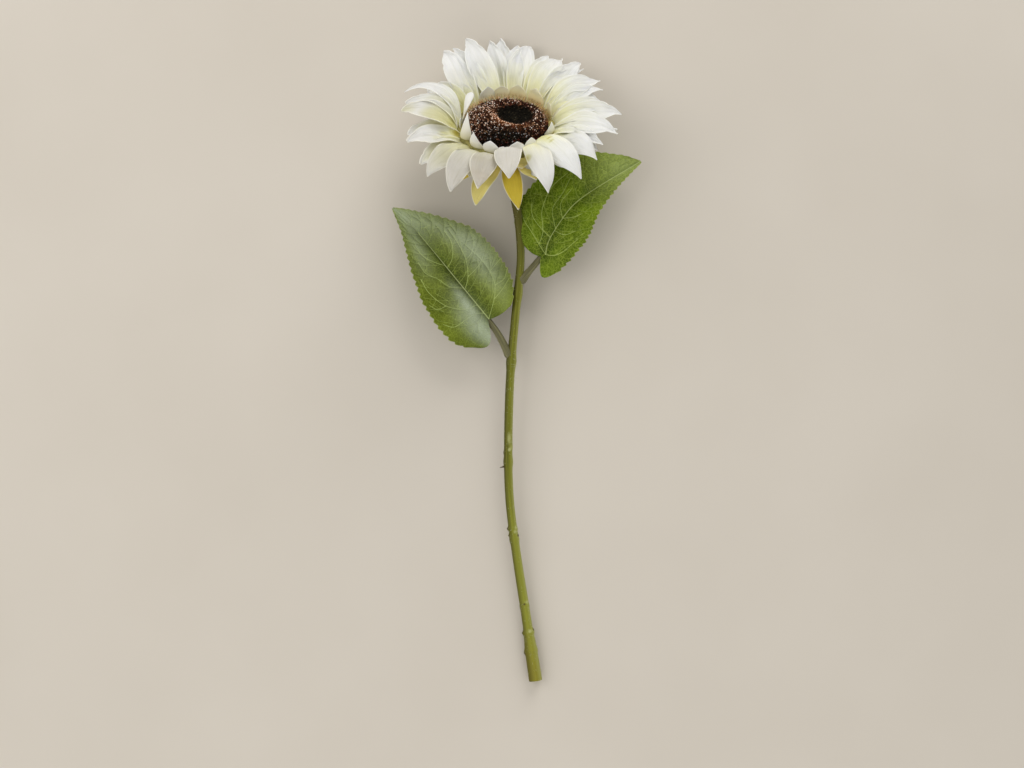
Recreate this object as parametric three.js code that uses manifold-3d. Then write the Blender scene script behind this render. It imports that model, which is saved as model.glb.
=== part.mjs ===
// A cut cream sunflower, lying on a table: a curved stem with two toothed leaves, a green calyx,
// two layers of long ray petals with a ring of short ones inside, and a domed dark disc.
// Millimetres. +X is to the right of the bloom, +Y runs up the stem from the cut end to the bloom,
// +Z is up from the table. The origin is at the bottom centre of the whole flower.
import * as THREE from "three";
import { mergeVertices } from "three/addons/utils/BufferGeometryUtils.js";
import Module from "manifold-3d";

const wasm = await Module();
wasm.setup();

// Driving dimensions of the head. Its axis leans back from +Z towards +Y.
const HEAD_CENTRE = new THREE.Vector3(-4.3, 186.4, 50);
const HEAD_LEAN = THREE.MathUtils.degToRad(46.5);
const DISC_RADIUS = 31;
const DISC_DOME = 11.5;
const DISC_FLOOR = -2;
// How much lower the dome lies towards the back of the disc.
const DISC_SLUMP = 5;
const CRATER = { x: 6.4, y: 1.6, radius: 13.8, depth: 8 };
const INNER_RADIUS = 32.4;
const COLLAR = { radius: 36, top: -2.3, bottom: -8.3 };
const CALYX = { bottom: -20, top: -8.6, neck: 4.8, rim: 29 };
const BRACT_ROWS = [
  { count: 12, shift: 0, radius: 24, height: -11.6, reach: 42, tip: -18 },
  { count: 9, shift: 0.5, radius: 16, height: -13.6, reach: 32, tip: -22 },
];
const SEAT_GAP = 0.3;
// Relief of the disc: peaks on crossing spirals that shrink towards the middle.
const FLORETS = { sectors: 60, rings: 18, pitch: 1.05, height: 1.5 };

// Blade thicknesses.
const PETAL_THICKNESS = 0.8;
const LEAF_THICKNESS = 0.9;
const BRACT_THICKNESS = 1;
// Radius of a leaf's stalk where it leaves the stem and where it runs out under the blade.
const STALK = { thick: 2.3, thin: 0.8 };

// Stem: its centre line from the cut end to the calyx, and its radius against the share of its length.
const STEM_ROUTE = [
  [17.3, -218.2, 4.6],
  [10.5, -171.8, 7],
  [3.5, -126, 9.5],
  [-1.7, -84.9, 11.7],
  [-2.7, -41, 14],
  [-1.2, 5.8, 16.5],
  [1.8, 43, 18.5],
  [5, 73.5, 20],
  [6.3, 93, 21],
  [4.8, 117.7, 22.2],
  [1.8, 135, 24],
];
const STEM_RADII = [
  [0, 4.9],
  [0.06, 4.5],
  [0.1, 3.5],
  [0.2, 3.3],
  [0.35, 3.1],
  [0.6, 3.1],
  [0.8, 2.9],
  [0.92, 3.1],
  [0.97, 3.7],
  [1, CALYX.neck],
];
const STEM_SIDES = 10;
const STEM_STEPS = 52;
// Old leaf scars: share of the stem's length, how far they swell, half their length.
const STEM_SCARS = [
  { at: 0.057, swell: 0.7, reach: 2 },
  { at: 0.09, swell: 0.8, reach: 1.6 },
  { at: 0.14, swell: 0.35, reach: 1.5 },
  { at: 0.265, swell: 0.8, reach: 2.4 },
  { at: 0.285, swell: 0.6, reach: 1.6 },
  { at: 0.41, swell: 0.8, reach: 3.4 },
  { at: 0.595, swell: 0.7, reach: 5 },
  { at: 0.72, swell: 0.6, reach: 5 },
];
// The short end of a broken stalk on the stem's left.
const STUB = { at: 0.404, length: 2.8, radius: 1.1 };

// Long ray petals. Each row holds the tip's azimuth round the head in degrees (0 is +X, 90 the back,
// 270 the front), its distance from the head's axis, its height above the disc's rim, the degrees by
// which the petal arches over the straight line from its root to its tip, and how far round its root is
// from its tip.
const UPPER_PETALS = [
  [272, 67, 3, 66, 2],
  [294.5, 72, -11, 66, 8],
  [314.5, 74.6, -8, 60, 4],
  [329, 74.8, -3, 46, 4],
  [349.6, 80.8, 2, 36, 0],
  [5, 82.8, 2, 34, 0],
  [32.5, 80.4, 5, 34, -5],
  [58, 75.5, 9, 36, -2],
  [78, 78.5, 12.5, 28, 0],
  [113, 75.5, 24, 26, -9],
  [126, 78, 18, 28, 8],
  [161, 77.5, 9, 46, 12],
  [176, 74, 6, 44, 8],
  [196, 73, -1, 40, 6],
  [222, 74, -9, 52, -3],
  [238.5, 73.5, -12, 52, -4],
  [254, 69, -6, 58, -2],
];
const LOWER_PETALS = [
  [18, 75, 0.5, 38, 0],
  [37, 77, 4, 34, 0],
  [47, 80, 10.5, 28, -4],
  [70, 79, 1.4, 24, 0],
  [93, 81.5, 14.8, 22, 0],
  [106, 80, 5.2, 22, 0],
  [117, 78, 12, 26, 0],
  [150, 66, 4, 36, 8],
  [168, 76, 0, 38, 4],
  [186, 71, -4, 38, 4],
  [211, 70, -9, 40, 0],
  [242, 54, -11, 40, 0],
  [284, 46, -6, 40, 0],
  [300, 60, -13, 40, 0],
  [317, 64, -9, 40, 0],
  [338, 70, -4, 38, 0],
  [357, 79, -3, 32, 0],
];
// The two golden petals of the lowest layer hang down in front of the stem.
const HANGING_PETALS = [
  [250, 62, -28, 34, 14],
  [278, 64, -28, 34, -6],
];
// Short inner petals that stand round the disc: azimuth, height of the tip, width.
const INNER_PETALS = [
  [20, 10, 9],
  [49, 12.5, 13.5],
  [75, 10.5, 12],
  [96, 9, 11],
  [114, 10, 11],
  [144, 13.5, 8],
  [178, 5, 8],
  [208, 22, 9],
  [232, 11, 9.5],
  [252, 8, 11],
  [266, 6, 10],
  [281, 8.5, 11],
  [299.5, 9, 9],
  [325, 5, 9],
  [342, 8, 9],
];
const PETAL_WIDTH = 19.5;
// Petals turn their faces a little towards the front of the head.
const PETAL_ROLL = 14;
// How a petal's middle line bends: the lengths of its curve's two handles against its root-to-tip
// distance, and how much steeper it comes down at the tip than it leaves its root.
const PETAL_BEND = { rootHandle: 0.4, tipHandle: 0.34, droop: 1.15 };

// A repeatable random number from 0 to 1.
let seed = 7;
function draw() {
  seed = (seed * 16807) % 2147483647;
  return seed / 2147483647;
}
const jitter = (amount) => (draw() - 0.5) * 2 * amount;
const radians = THREE.MathUtils.degToRad;

// Reads a list of [place, value] pairs at t, with straight lines between them.
function readAlong(pairs, t) {
  const last = pairs.length - 1;
  if (t <= pairs[0][0]) return pairs[0][1];
  for (let i = 0; i < last; i++) {
    const [t0, v0] = pairs[i];
    const [t1, v1] = pairs[i + 1];
    if (t <= t1) return THREE.MathUtils.lerp(v0, v1, (t - t0) / (t1 - t0));
  }
  return pairs[last][1];
}

// Turns a geometry into a manifold-3d solid, and a solid back into a geometry.
function solidOf(geometry) {
  const bare = geometry.clone();
  bare.deleteAttribute("normal");
  bare.deleteAttribute("uv");
  const merged = mergeVertices(bare, 1e-4);
  return new wasm.Manifold(
    new wasm.Mesh({
      numProp: 3,
      vertProperties: merged.attributes.position.array,
      triVerts: new Uint32Array(merged.index.array),
    }),
  );
}
function geometryOf(solid) {
  const mesh = solid.getMesh();
  const geometry = new THREE.BufferGeometry();
  geometry.setAttribute("position", new THREE.BufferAttribute(mesh.vertProperties, 3));
  geometry.setIndex(new THREE.BufferAttribute(mesh.triVerts, 1));
  geometry.computeVertexNormals();
  return geometry;
}
// Joins solids into one, fills any hollow that this seals, and drops loose scraps.
function unite(solids) {
  const joined = solids.reduce((whole, next) => whole.add(next));
  return largestShell(joined);
}
const largestShell = (solid) => solid.decompose().sort((a, b) => b.volume() - a.volume())[0];

// An indexed geometry from points and faces.
function geometryFrom(points, faces) {
  const geometry = new THREE.BufferGeometry().setFromPoints(points);
  geometry.setIndex(faces.flat());
  return geometry;
}

// A closed thin blade of even thickness about a surface point(u, v), with u and v from 0 to 1.
function blade(point, uSteps, vSteps, thickness) {
  const row = vSteps + 1;
  const count = (uSteps + 1) * row;
  const middle = [];
  for (let i = 0; i <= uSteps; i++)
    for (let j = 0; j <= vSteps; j++) middle.push(point(i / uSteps, j / vSteps));
  const at = (i, j) =>
    middle[THREE.MathUtils.clamp(i, 0, uSteps) * row + THREE.MathUtils.clamp(j, 0, vSteps)];
  const upper = [];
  const lower = [];
  for (let i = 0; i <= uSteps; i++)
    for (let j = 0; j <= vSteps; j++) {
      const along = at(i + 1, j).clone().sub(at(i - 1, j));
      const across = at(i, j + 1).clone().sub(at(i, j - 1));
      const offset = along.cross(across).normalize().multiplyScalar(thickness / 2);
      upper.push(at(i, j).clone().add(offset));
      lower.push(at(i, j).clone().sub(offset));
    }
  const faces = [];
  const quad = (a, b, c, d) => faces.push([a, b, c], [a, c, d]);
  for (let i = 0; i < uSteps; i++)
    for (let j = 0; j < vSteps; j++) {
      const a = i * row + j;
      const [b, c, d] = [a + row, a + row + 1, a + 1];
      faces.push([a, b, c], [a, c, d]);
      faces.push([count + a, count + c, count + b], [count + a, count + d, count + c]);
    }
  for (let i = 0; i < uSteps; i++) {
    const [near, far] = [i * row, (i + 1) * row];
    quad(near, count + near, count + far, far);
    quad(near + vSteps, far + vSteps, count + far + vSteps, count + near + vSteps);
  }
  const end = uSteps * row;
  for (let j = 0; j < vSteps; j++) {
    quad(j, j + 1, count + j + 1, count + j);
    quad(end + j, count + end + j, count + end + j + 1, end + j + 1);
  }
  return solidOf(geometryFrom([...upper, ...lower], faces));
}

// A closed round rod along a curve, with its radius given along the share of its length.
function rod(curve, radiusAt, sides, steps) {
  const frames = curve.computeFrenetFrames(steps, false);
  const points = [];
  for (let i = 0; i <= steps; i++) {
    const centre = curve.getPointAt(i / steps);
    for (let k = 0; k < sides; k++) {
      const angle = (k / sides) * Math.PI * 2;
      const radius = radiusAt(i / steps, angle);
      points.push(
        centre
          .clone()
          .addScaledVector(frames.normals[i], Math.cos(angle) * radius)
          .addScaledVector(frames.binormals[i], Math.sin(angle) * radius),
      );
    }
  }
  const faces = [];
  for (let i = 0; i < steps; i++)
    for (let k = 0; k < sides; k++) {
      const a = i * sides + k;
      const b = i * sides + ((k + 1) % sides);
      faces.push([a, b, b + sides], [a, b + sides, a + sides]);
    }
  const first = points.length;
  points.push(curve.getPointAt(0), curve.getPointAt(1));
  for (let k = 0; k < sides; k++) {
    const next = (k + 1) % sides;
    const end = steps * sides;
    faces.push([first, next, k], [first + 1, end + k, end + next]);
  }
  return solidOf(geometryFrom(points, faces));
}

// The head's own axes: x to the right, y to the back of the disc, z out of the disc.
const headMatrix = new THREE.Matrix4()
  .makeRotationX(-HEAD_LEAN)
  .setPosition(HEAD_CENTRE.x, HEAD_CENTRE.y, HEAD_CENTRE.z);
const inHead = (solid) => solid.transform(headMatrix.toArray());
const headPoint = (x, y, z) => new THREE.Vector3(x, y, z).applyMatrix4(headMatrix);

// A petal's half width along its length, as a share of its greatest: a narrow root, a full middle, a point.
function petalOutline(t, root, fullest, point) {
  const rise = root + (1 - root) * Math.sin((Math.PI / 2) * Math.min(1, t / fullest));
  const fall = 1 - Math.pow(Math.max(0, (t - fullest) / (1 - fullest)), point);
  return Math.max(rise * fall, 0.035);
}

// A point of the head at an azimuth in degrees, a distance from its axis and a height.
function polar(azimuth, radius, height) {
  const angle = radians(azimuth);
  return new THREE.Vector3(Math.cos(angle) * radius, Math.sin(angle) * radius, height);
}

// A petal that arches from its root on the collar to its tip, with its middle line in an upright plane.
function petalSurface(shape) {
  const root = polar(shape.azimuth + shape.rootTurn, shape.rootRadius, shape.rootHeight);
  const tip = polar(shape.azimuth, shape.reach, shape.height);
  const level = tip.clone().sub(root).setZ(0);
  const chord = root.distanceTo(tip);
  const slope = Math.atan2(tip.z - root.z, level.length());
  const leave = slope + radians(shape.arch);
  const arrive = slope - radians(shape.arch * PETAL_BEND.droop);
  level.normalize();
  const heading = (angle, length) =>
    level.clone().multiplyScalar(Math.cos(angle)).setZ(Math.sin(angle)).multiplyScalar(length);
  const line = new THREE.CubicBezierCurve3(
    root,
    heading(leave, chord * PETAL_BEND.rootHandle).add(root),
    heading(arrive, chord * -PETAL_BEND.tipHandle).add(tip),
    tip,
  );
  const side = new THREE.Vector3(-level.y, level.x, 0);
  return (u, v) => {
    const w = v * 2 - 1;
    const top = line.getTangentAt(u).cross(side);
    const roll = radians(shape.roll) * Math.min(1, u * 2);
    const across = side.clone().multiplyScalar(Math.cos(roll)).addScaledVector(top, Math.sin(roll));
    const out = top.clone().multiplyScalar(Math.cos(roll)).addScaledVector(side, -Math.sin(roll));
    const half = (shape.width / 2) * petalOutline(u, shape.root, 0.5, 1.8);
    const lift = half * (shape.cup * (1 - u) * w * w + shape.crease * (Math.abs(w) - 0.5));
    const sway = shape.sway * Math.sin(Math.PI * u);
    return line
      .getPointAt(u)
      .addScaledVector(across, half * w + sway)
      .addScaledVector(out, lift);
  };
}

function longPetal([azimuth, reach, height, arch, rootTurn], layer) {
  return {
    azimuth,
    reach,
    height,
    arch,
    rootTurn,
    rootRadius: layer.radius,
    rootHeight: layer.height,
    width: PETAL_WIDTH + layer.wider + jitter(0.8),
    roll: PETAL_ROLL * THREE.MathUtils.clamp(4 * Math.cos(radians(azimuth)), -1, 1) + jitter(2),
    sway: jitter(2),
    root: 0.42,
    cup: 0.4,
    crease: 0.22,
  };
}
const upperLayer = { radius: 34, height: -4.2, wider: 0 };
const lowerLayer = { radius: 34, height: -6.8, wider: -1 };
const hangingLayer = { radius: 33, height: -7.2, wider: -2 };

function innerPetal([azimuth, height, width]) {
  return {
    azimuth,
    reach: INNER_RADIUS + 0.3,
    height,
    arch: -16,
    rootTurn: 0,
    rootRadius: INNER_RADIUS,
    rootHeight: upperLayer.height,
    width,
    roll: 0,
    sway: jitter(0.5),
    root: 0.6,
    cup: 0,
    crease: 0.1,
  };
}

// All petals and the ring that they grow from, pressed flat where they touch the table.
function petals() {
  const petalBlade = (shape, uSteps, vSteps) =>
    blade(petalSurface(shape), uSteps, vSteps, PETAL_THICKNESS);
  const blades = [
    ...UPPER_PETALS.map((row) => petalBlade(longPetal(row, upperLayer), 6, 4)),
    ...LOWER_PETALS.map((row) => petalBlade(longPetal(row, lowerLayer), 6, 2)),
    ...HANGING_PETALS.map((row) => petalBlade(longPetal(row, hangingLayer), 5, 2)),
    ...INNER_PETALS.map((row) => petalBlade(innerPetal(row), 3, 2)),
  ];
  const section = [
    [0, COLLAR.bottom],
    [COLLAR.radius - 3, COLLAR.bottom],
    [COLLAR.radius, COLLAR.bottom + 2],
    [COLLAR.radius, COLLAR.top - 1],
    [COLLAR.radius - 1, COLLAR.top],
    [0, COLLAR.top],
  ].map(([r, h]) => new THREE.Vector2(r, h));
  const collar = latheSolid(section, 24);
  return largestShell(aboveTable(inHead(unite([collar, ...blades]))));
}

// A lathe whose axis is the head's z.
function latheSolid(section, sides) {
  const geometry = new THREE.LatheGeometry(section, sides);
  geometry.rotateX(Math.PI / 2);
  return solidOf(geometry);
}

// Takes off what would lie below the table.
function aboveTable(solid) {
  const room = 600;
  const slab = new THREE.BoxGeometry(room, room, 40).translate(0, 0, -20);
  return solid.subtract(solidOf(slab));
}

// The disc's height at a place on it: a dome with a crater near its middle.
function discHeight(x, y) {
  const share = Math.min(1, Math.hypot(x, y) / DISC_RADIUS);
  const dome = DISC_DOME * (1 - Math.pow(share, 3));
  const slump = DISC_SLUMP * THREE.MathUtils.clamp((y + 6) / 30, 0, 1) ** 1.5 * (1 - share ** 6);
  const away = Math.hypot(x - CRATER.x, y - CRATER.y) / CRATER.radius;
  return dome - slump - CRATER.depth * Math.exp(-Math.pow(away, 4));
}

// The disc of florets: a dome whose rows of small peaks run in spirals both ways.
function disc() {
  const { sectors, rings, pitch, height } = FLORETS;
  const shrink = Math.exp(-((Math.PI * 2) / sectors) * pitch);
  const points = [];
  let radius = DISC_RADIUS;
  for (let k = 0; k < rings; k++) {
    for (let j = 0; j < sectors; j++) {
      const angle = (j / sectors) * Math.PI * 2;
      const x = radius * Math.cos(angle);
      const y = radius * Math.sin(angle);
      const peak = (j + k) % 2 === 0 ? 1 : 0;
      const relief = peak * Math.min(height, radius * 0.06);
      points.push(new THREE.Vector3(x, y, discHeight(x, y) + relief));
    }
    radius *= shrink;
  }
  const faces = [];
  for (let k = 0; k < rings - 1; k++)
    for (let j = 0; j < sectors; j++) {
      const next = (j + 1) % sectors;
      const [a, b] = [k * sectors + j, k * sectors + next];
      const [c, d] = [b + sectors, a + sectors];
      if ((j + k) % 2 === 0) faces.push([a, b, c], [a, c, d]);
      else faces.push([a, b, d], [b, c, d]);
    }
  const middle = points.length;
  points.push(new THREE.Vector3(0, 0, discHeight(0, 0)));
  const foot = points.length;
  for (let j = 0; j < sectors; j++) {
    const angle = (j / sectors) * Math.PI * 2;
    const x = DISC_RADIUS * Math.cos(angle);
    const y = DISC_RADIUS * Math.sin(angle);
    points.push(new THREE.Vector3(x, y, DISC_FLOOR));
  }
  const under = points.length;
  points.push(new THREE.Vector3(0, 0, DISC_FLOOR));
  for (let j = 0; j < sectors; j++) {
    const next = (j + 1) % sectors;
    const inner = (rings - 1) * sectors;
    faces.push([inner + j, inner + next, middle]);
    faces.push([j, foot + j, foot + next], [j, foot + next, next]);
    faces.push([foot + next, foot + j, under]);
  }
  return inHead(solidOf(geometryFrom(points, faces)));
}

// The green cup behind the petals, with two rows of pointed bracts.
function calyx() {
  const section = [
    [0, CALYX.bottom],
    [CALYX.neck, CALYX.bottom],
    [7, CALYX.bottom + 2.6],
    [13, CALYX.bottom + 5.6],
    [21, CALYX.bottom + 8],
    [CALYX.rim - 2, CALYX.bottom + 9.6],
    [CALYX.rim, CALYX.top - 0.8],
    [CALYX.rim - 0.6, CALYX.top],
    [0, CALYX.top],
  ].map(([r, h]) => new THREE.Vector2(r, h));
  const cup = latheSolid(section, 24);
  const bracts = [];
  BRACT_ROWS.forEach((row) => {
    for (let i = 0; i < row.count; i++) {
      const surface = petalSurface({
        azimuth: (360 / row.count) * (i + row.shift) + jitter(3),
        reach: row.reach + jitter(1.2),
        height: row.tip + jitter(1.2),
        arch: 14,
        rootTurn: 0,
        rootRadius: row.radius,
        rootHeight: row.height,
        width: 9,
        roll: 0,
        sway: jitter(0.8),
        root: 0.8,
        cup: 0.2,
        crease: 0.2,
      });
      bracts.push(blade(surface, 3, 2, BRACT_THICKNESS));
    }
  });
  return largestShell(aboveTable(inHead(unite([cup, ...bracts]))));
}

// The stem's centre line ends square on the calyx, along the head's axis.
const stemCurve = new THREE.CatmullRomCurve3([
  ...STEM_ROUTE.map(([x, y, z]) => new THREE.Vector3(x, y, z)),
  headPoint(0, -3.2, CALYX.bottom - 17),
  headPoint(0, 0, CALYX.bottom - 6),
  headPoint(0, 0, CALYX.bottom - SEAT_GAP),
]);
function stemRadius(t) {
  const length = stemCurve.getLength();
  const scars = STEM_SCARS.reduce((sum, scar) => {
    const away = ((t - scar.at) * length) / scar.reach;
    return sum + scar.swell * Math.exp(-away * away);
  }, 0);
  return readAlong(STEM_RADII, t) + scars;
}
function stem() {
  const body = rod(stemCurve, stemRadius, STEM_SIDES, STEM_STEPS);
  const root = stemCurve.getPointAt(STUB.at);
  const end = root.clone().add(new THREE.Vector3(-stemRadius(STUB.at) - STUB.length, -1.5, 1.5));
  const stub = rod(
    new THREE.LineCurve3(root, end),
    (t) => STUB.radius * (1.3 - t),
    6,
    2,
  );
  return largestShell(aboveTable(body.add(stub)));
}

// A leaf: its stalk (where it leaves the stem and the bend on its way), its midrib, and its two sides.
// A side holds half widths against the share of the midrib, how far back its edge lies at the base, and how
// far its lobe bulges back beside the stalk. Fold and curl lift and drop a side, and roll turns the leaf.
const LEFT_LEAF = {
  stalk: [0.6, [-10.2, 36.5, 19.5]],
  midrib: [
    [-17.4, 46.5, 22.5],
    [-33, 65.5, 26],
    [-52, 90, 27.5],
    [-70, 112, 23],
    [-87, 128.4, 15],
  ],
  right: {
    half: [
      [0, 20],
      [0.04, 25],
      [0.11, 31],
      [0.2, 34],
      [0.35, 35],
      [0.45, 34],
      [0.56, 31],
      [0.65, 24.5],
      [0.75, 17],
      [0.85, 9.5],
      [0.93, 5],
      [1, 0.7],
    ],
    edgeBack: 2,
    lobeBack: 2,
  },
  left: {
    half: [
      [0, 21],
      [0.05, 27],
      [0.1, 29.8],
      [0.2, 30.6],
      [0.38, 28],
      [0.55, 21.5],
      [0.7, 14.5],
      [0.85, 7],
      [1, 0.7],
    ],
    edgeBack: 8,
    lobeBack: 12,
  },
  fold: 0.3,
  curl: 0.009,
  roll: [-2, 4],
};
const RIGHT_LEAF = {
  stalk: [0.735, [13.2, 85.5, 21.8]],
  midrib: [
    [20.9, 92.5, 24],
    [28.3, 106.5, 27],
    [37, 120, 28],
    [48, 132, 28],
    [69, 147.5, 26],
    [94, 162, 20],
  ],
  right: {
    half: [
      [0, 15.5],
      [0.06, 18],
      [0.13, 20.5],
      [0.27, 23],
      [0.37, 22],
      [0.46, 18.8],
      [0.55, 15],
      [0.65, 11.5],
      [0.77, 7.5],
      [0.9, 3.5],
      [1, 0.7],
    ],
    edgeBack: 5,
    lobeBack: 11,
  },
  left: {
    half: [
      [0, 12.8],
      [0.04, 20],
      [0.1, 27],
      [0.16, 30.5],
      [0.27, 33.5],
      [0.5, 33],
      [0.6, 31],
      [0.7, 27],
      [0.78, 21],
      [0.86, 14],
      [0.93, 8.5],
      [1, 0.7],
    ],
    edgeBack: -1,
    lobeBack: 1,
  },
  fold: 0.22,
  curl: 0.008,
  roll: [10, 16],
};
const TEETH = 24;
const TOOTH_DEPTH = 1.5;

function leafSurface(leaf) {
  const midrib = new THREE.CatmullRomCurve3(leaf.midrib.map((p) => new THREE.Vector3(...p)));
  const up = new THREE.Vector3(0, 0, 1);
  return (u, v) => {
    const w = 1 - v * 2;
    const along = midrib.getTangentAt(u);
    const level = along.clone().cross(up).normalize();
    const above = level.clone().cross(along);
    const roll = radians(THREE.MathUtils.lerp(leaf.roll[0], leaf.roll[1], u));
    const across = level.clone().multiplyScalar(Math.cos(roll)).addScaledVector(above, Math.sin(roll));
    const out = above.clone().multiplyScalar(Math.cos(roll)).addScaledVector(level, -Math.sin(roll));
    const tooth = TOOTH_DEPTH * Math.abs(w) ** 4 * (1 - u ** 6) * (Math.round(u * TEETH * 2) % 2);
    const side = w > 0 ? leaf.right : leaf.left;
    const half = readAlong(side.half, u) + tooth;
    const lobe = side.edgeBack * w * w + side.lobeBack * Math.sin(Math.PI * Math.abs(w));
    const back = lobe * (1 - u) ** 4;
    const reach = Math.abs(w) * half;
    return midrib
      .getPointAt(u)
      .addScaledVector(across, w * half)
      .addScaledVector(along, -back)
      .addScaledVector(out, leaf.fold * reach - leaf.curl * reach * reach);
  };
}

// A leaf with its stalk and the rib under its blade, cut to sit against the stem.
function leaf(shape) {
  const plate = blade(leafSurface(shape), TEETH * 2, 4, LEAF_THICKNESS);
  const [share, knee] = shape.stalk;
  const ribEnd = Math.ceil(shape.midrib.length / 2);
  const under = new THREE.Vector3(0, 0, -0.9);
  const line = new THREE.CatmullRomCurve3([
    stemCurve.getPointAt(share),
    new THREE.Vector3(...knee),
    ...shape.midrib.slice(0, ribEnd + 1).map((p) => new THREE.Vector3(...p).add(under)),
  ]);
  const thinned = (t) => THREE.MathUtils.lerp(STALK.thick, STALK.thin, Math.sqrt(t));
  const stalk = rod(line, thinned, 6, 12);
  const clearance = rod(stemCurve, (t) => stemRadius(t) + SEAT_GAP, STEM_SIDES, STEM_STEPS);
  return largestShell(unite([plate, stalk]).subtract(clearance));
}

const PETAL_CREAM = { color: 0xf3f0e2, roughness: 0.6 };
const DISC_BROWN = { color: 0x2b1711, roughness: 0.9 };
const CALYX_GREEN = { color: 0x6f8236, roughness: 0.7 };
const STEM_GREEN = { color: 0x7d8a35, roughness: 0.6 };
const LEAF_GREEN = { color: 0x4f6b2c, roughness: 0.55 };

const flower = new THREE.Group();
function place(name, solid, look) {
  const material = new THREE.MeshStandardMaterial({ ...look, metalness: 0 });
  const mesh = new THREE.Mesh(geometryOf(solid), material);
  mesh.name = name;
  flower.add(mesh);
}
place("ray_petals", petals(), PETAL_CREAM);
place("disc", disc(), DISC_BROWN);
place("calyx", calyx(), CALYX_GREEN);
place("stem", stem(), STEM_GREEN);
place("leaf_left", leaf(LEFT_LEAF), LEAF_GREEN);
place("leaf_right", leaf(RIGHT_LEAF), LEAF_GREEN);

const box = new THREE.Box3().setFromObject(flower);
const middle = box.getCenter(new THREE.Vector3());
flower.position.set(-middle.x, -middle.y, -box.min.z);

export default flower;
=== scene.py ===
"""A cut cream sunflower lying on a pale floor, seen from straight above.

Lengths are in metres. +X is to the right of the bloom, +Y runs up the stem to the bloom, +Z is up.
"""

import math

import bmesh
import bpy
import numpy as np
from mathutils import Matrix, Vector


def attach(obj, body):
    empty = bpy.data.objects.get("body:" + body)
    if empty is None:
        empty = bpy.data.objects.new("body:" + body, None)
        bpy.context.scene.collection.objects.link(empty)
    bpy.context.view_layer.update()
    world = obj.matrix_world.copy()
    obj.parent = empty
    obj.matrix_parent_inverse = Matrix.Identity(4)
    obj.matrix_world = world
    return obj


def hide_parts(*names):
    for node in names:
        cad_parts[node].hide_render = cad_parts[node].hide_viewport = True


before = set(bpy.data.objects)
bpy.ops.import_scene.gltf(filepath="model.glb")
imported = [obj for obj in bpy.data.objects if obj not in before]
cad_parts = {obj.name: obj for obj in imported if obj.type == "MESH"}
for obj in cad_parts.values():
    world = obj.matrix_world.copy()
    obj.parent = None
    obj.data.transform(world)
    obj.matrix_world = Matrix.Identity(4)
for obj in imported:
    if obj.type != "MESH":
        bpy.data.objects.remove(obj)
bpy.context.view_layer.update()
MM = 0.001
# A full turn in radians, near enough for random angles.
FULL_TURN = 6.28

# The flower was drawn round the camera's axis. This is where that axis stands in the part's frame.
AXIS = Vector((-3.4224, -17.2535, 0)) * MM
CAMERA_HEIGHT = 1.681
CAMERA_LENS = 80.19

# The head's own axes: x to the right, y to the back of the disc, z out of the disc.
HEAD_CENTRE = Vector((-4.3, 186.4, 50)) * MM + AXIS
HEAD_LEAN = math.radians(46.5)
HEAD = Matrix.Translation(HEAD_CENTRE) @ Matrix.Rotation(-HEAD_LEAN, 4, "X")

DISC_RADIUS = 31
DISC_DOME = 11.5
DISC_FLOOR = -2
# How much lower the dome lies towards the back of the disc.
DISC_SLUMP = 5
CRATER = {"x": 6.4, "y": 1.6, "radius": 13.8, "depth": 8}
INNER_RADIUS = 32.4
COLLAR = {"radius": 36, "top": -2.3, "bottom": -8.3}
CALYX = {"bottom": -20, "top": -8.6, "neck": 4.8, "rim": 29}

# Camera.


def look_from_above():
    bpy.ops.object.camera_add(location=(AXIS.x, AXIS.y, CAMERA_HEIGHT), rotation=(0, 0, 0))
    camera = bpy.context.object
    camera.name = "camera"
    camera.data.lens = CAMERA_LENS
    camera.data.sensor_width = 36
    camera.data.clip_end = 20
    bpy.context.scene.camera = camera


# Short ways to work on pieces.


def only(*pieces):
    """Leaves just these pieces selected, the first one active."""
    if bpy.context.mode != "OBJECT":
        bpy.ops.object.mode_set(mode="OBJECT")
    bpy.ops.object.select_all(action="DESELECT")
    for piece in pieces:
        piece.select_set(True)
    bpy.context.view_layer.objects.active = pieces[0]


def settle(piece):
    """Puts a piece's place, turn and scale into its mesh."""
    only(piece)
    bpy.ops.object.transform_apply(location=True, rotation=True, scale=True)


def added(name):
    piece = bpy.context.object
    piece.name = piece.data.name = name
    settle(piece)
    return piece


def linked(name, data):
    piece = bpy.data.objects.new(name, data)
    bpy.context.scene.collection.objects.link(piece)
    return piece


def square_grid(name, rows, columns):
    """A flat grid from -1 to 1 along x and y."""
    bpy.ops.mesh.primitive_grid_add(x_subdivisions=rows, y_subdivisions=columns, size=2)
    return added(name)


def discard(*pieces):
    for piece in pieces:
        data = piece.data
        bpy.data.objects.remove(piece)
        store = bpy.data.curves if isinstance(data, bpy.types.Curve) else bpy.data.meshes
        store.remove(data)


def joined(pieces, name):
    only(*pieces)
    bpy.ops.object.join()
    piece = bpy.context.object
    piece.name = piece.data.name = name
    return piece


def modify(piece, kind, **settings):
    """Adds a modifier and applies it."""
    only(piece)
    modifier = piece.modifiers.new(kind.title(), kind)
    for key, value in settings.items():
        setattr(modifier, key, value)
    bpy.ops.object.modifier_apply(modifier=modifier.name)


def places(piece):
    co = np.empty(len(piece.data.vertices) * 3)
    piece.data.vertices.foreach_get("co", co)
    return co.reshape(-1, 3)


def sculpt(piece, move):
    """Moves a mesh's points: move takes and returns arrays x, y, z."""
    moved = np.column_stack(move(*places(piece).T))
    piece.data.vertices.foreach_set("co", moved.ravel())
    piece.data.update()


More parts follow.
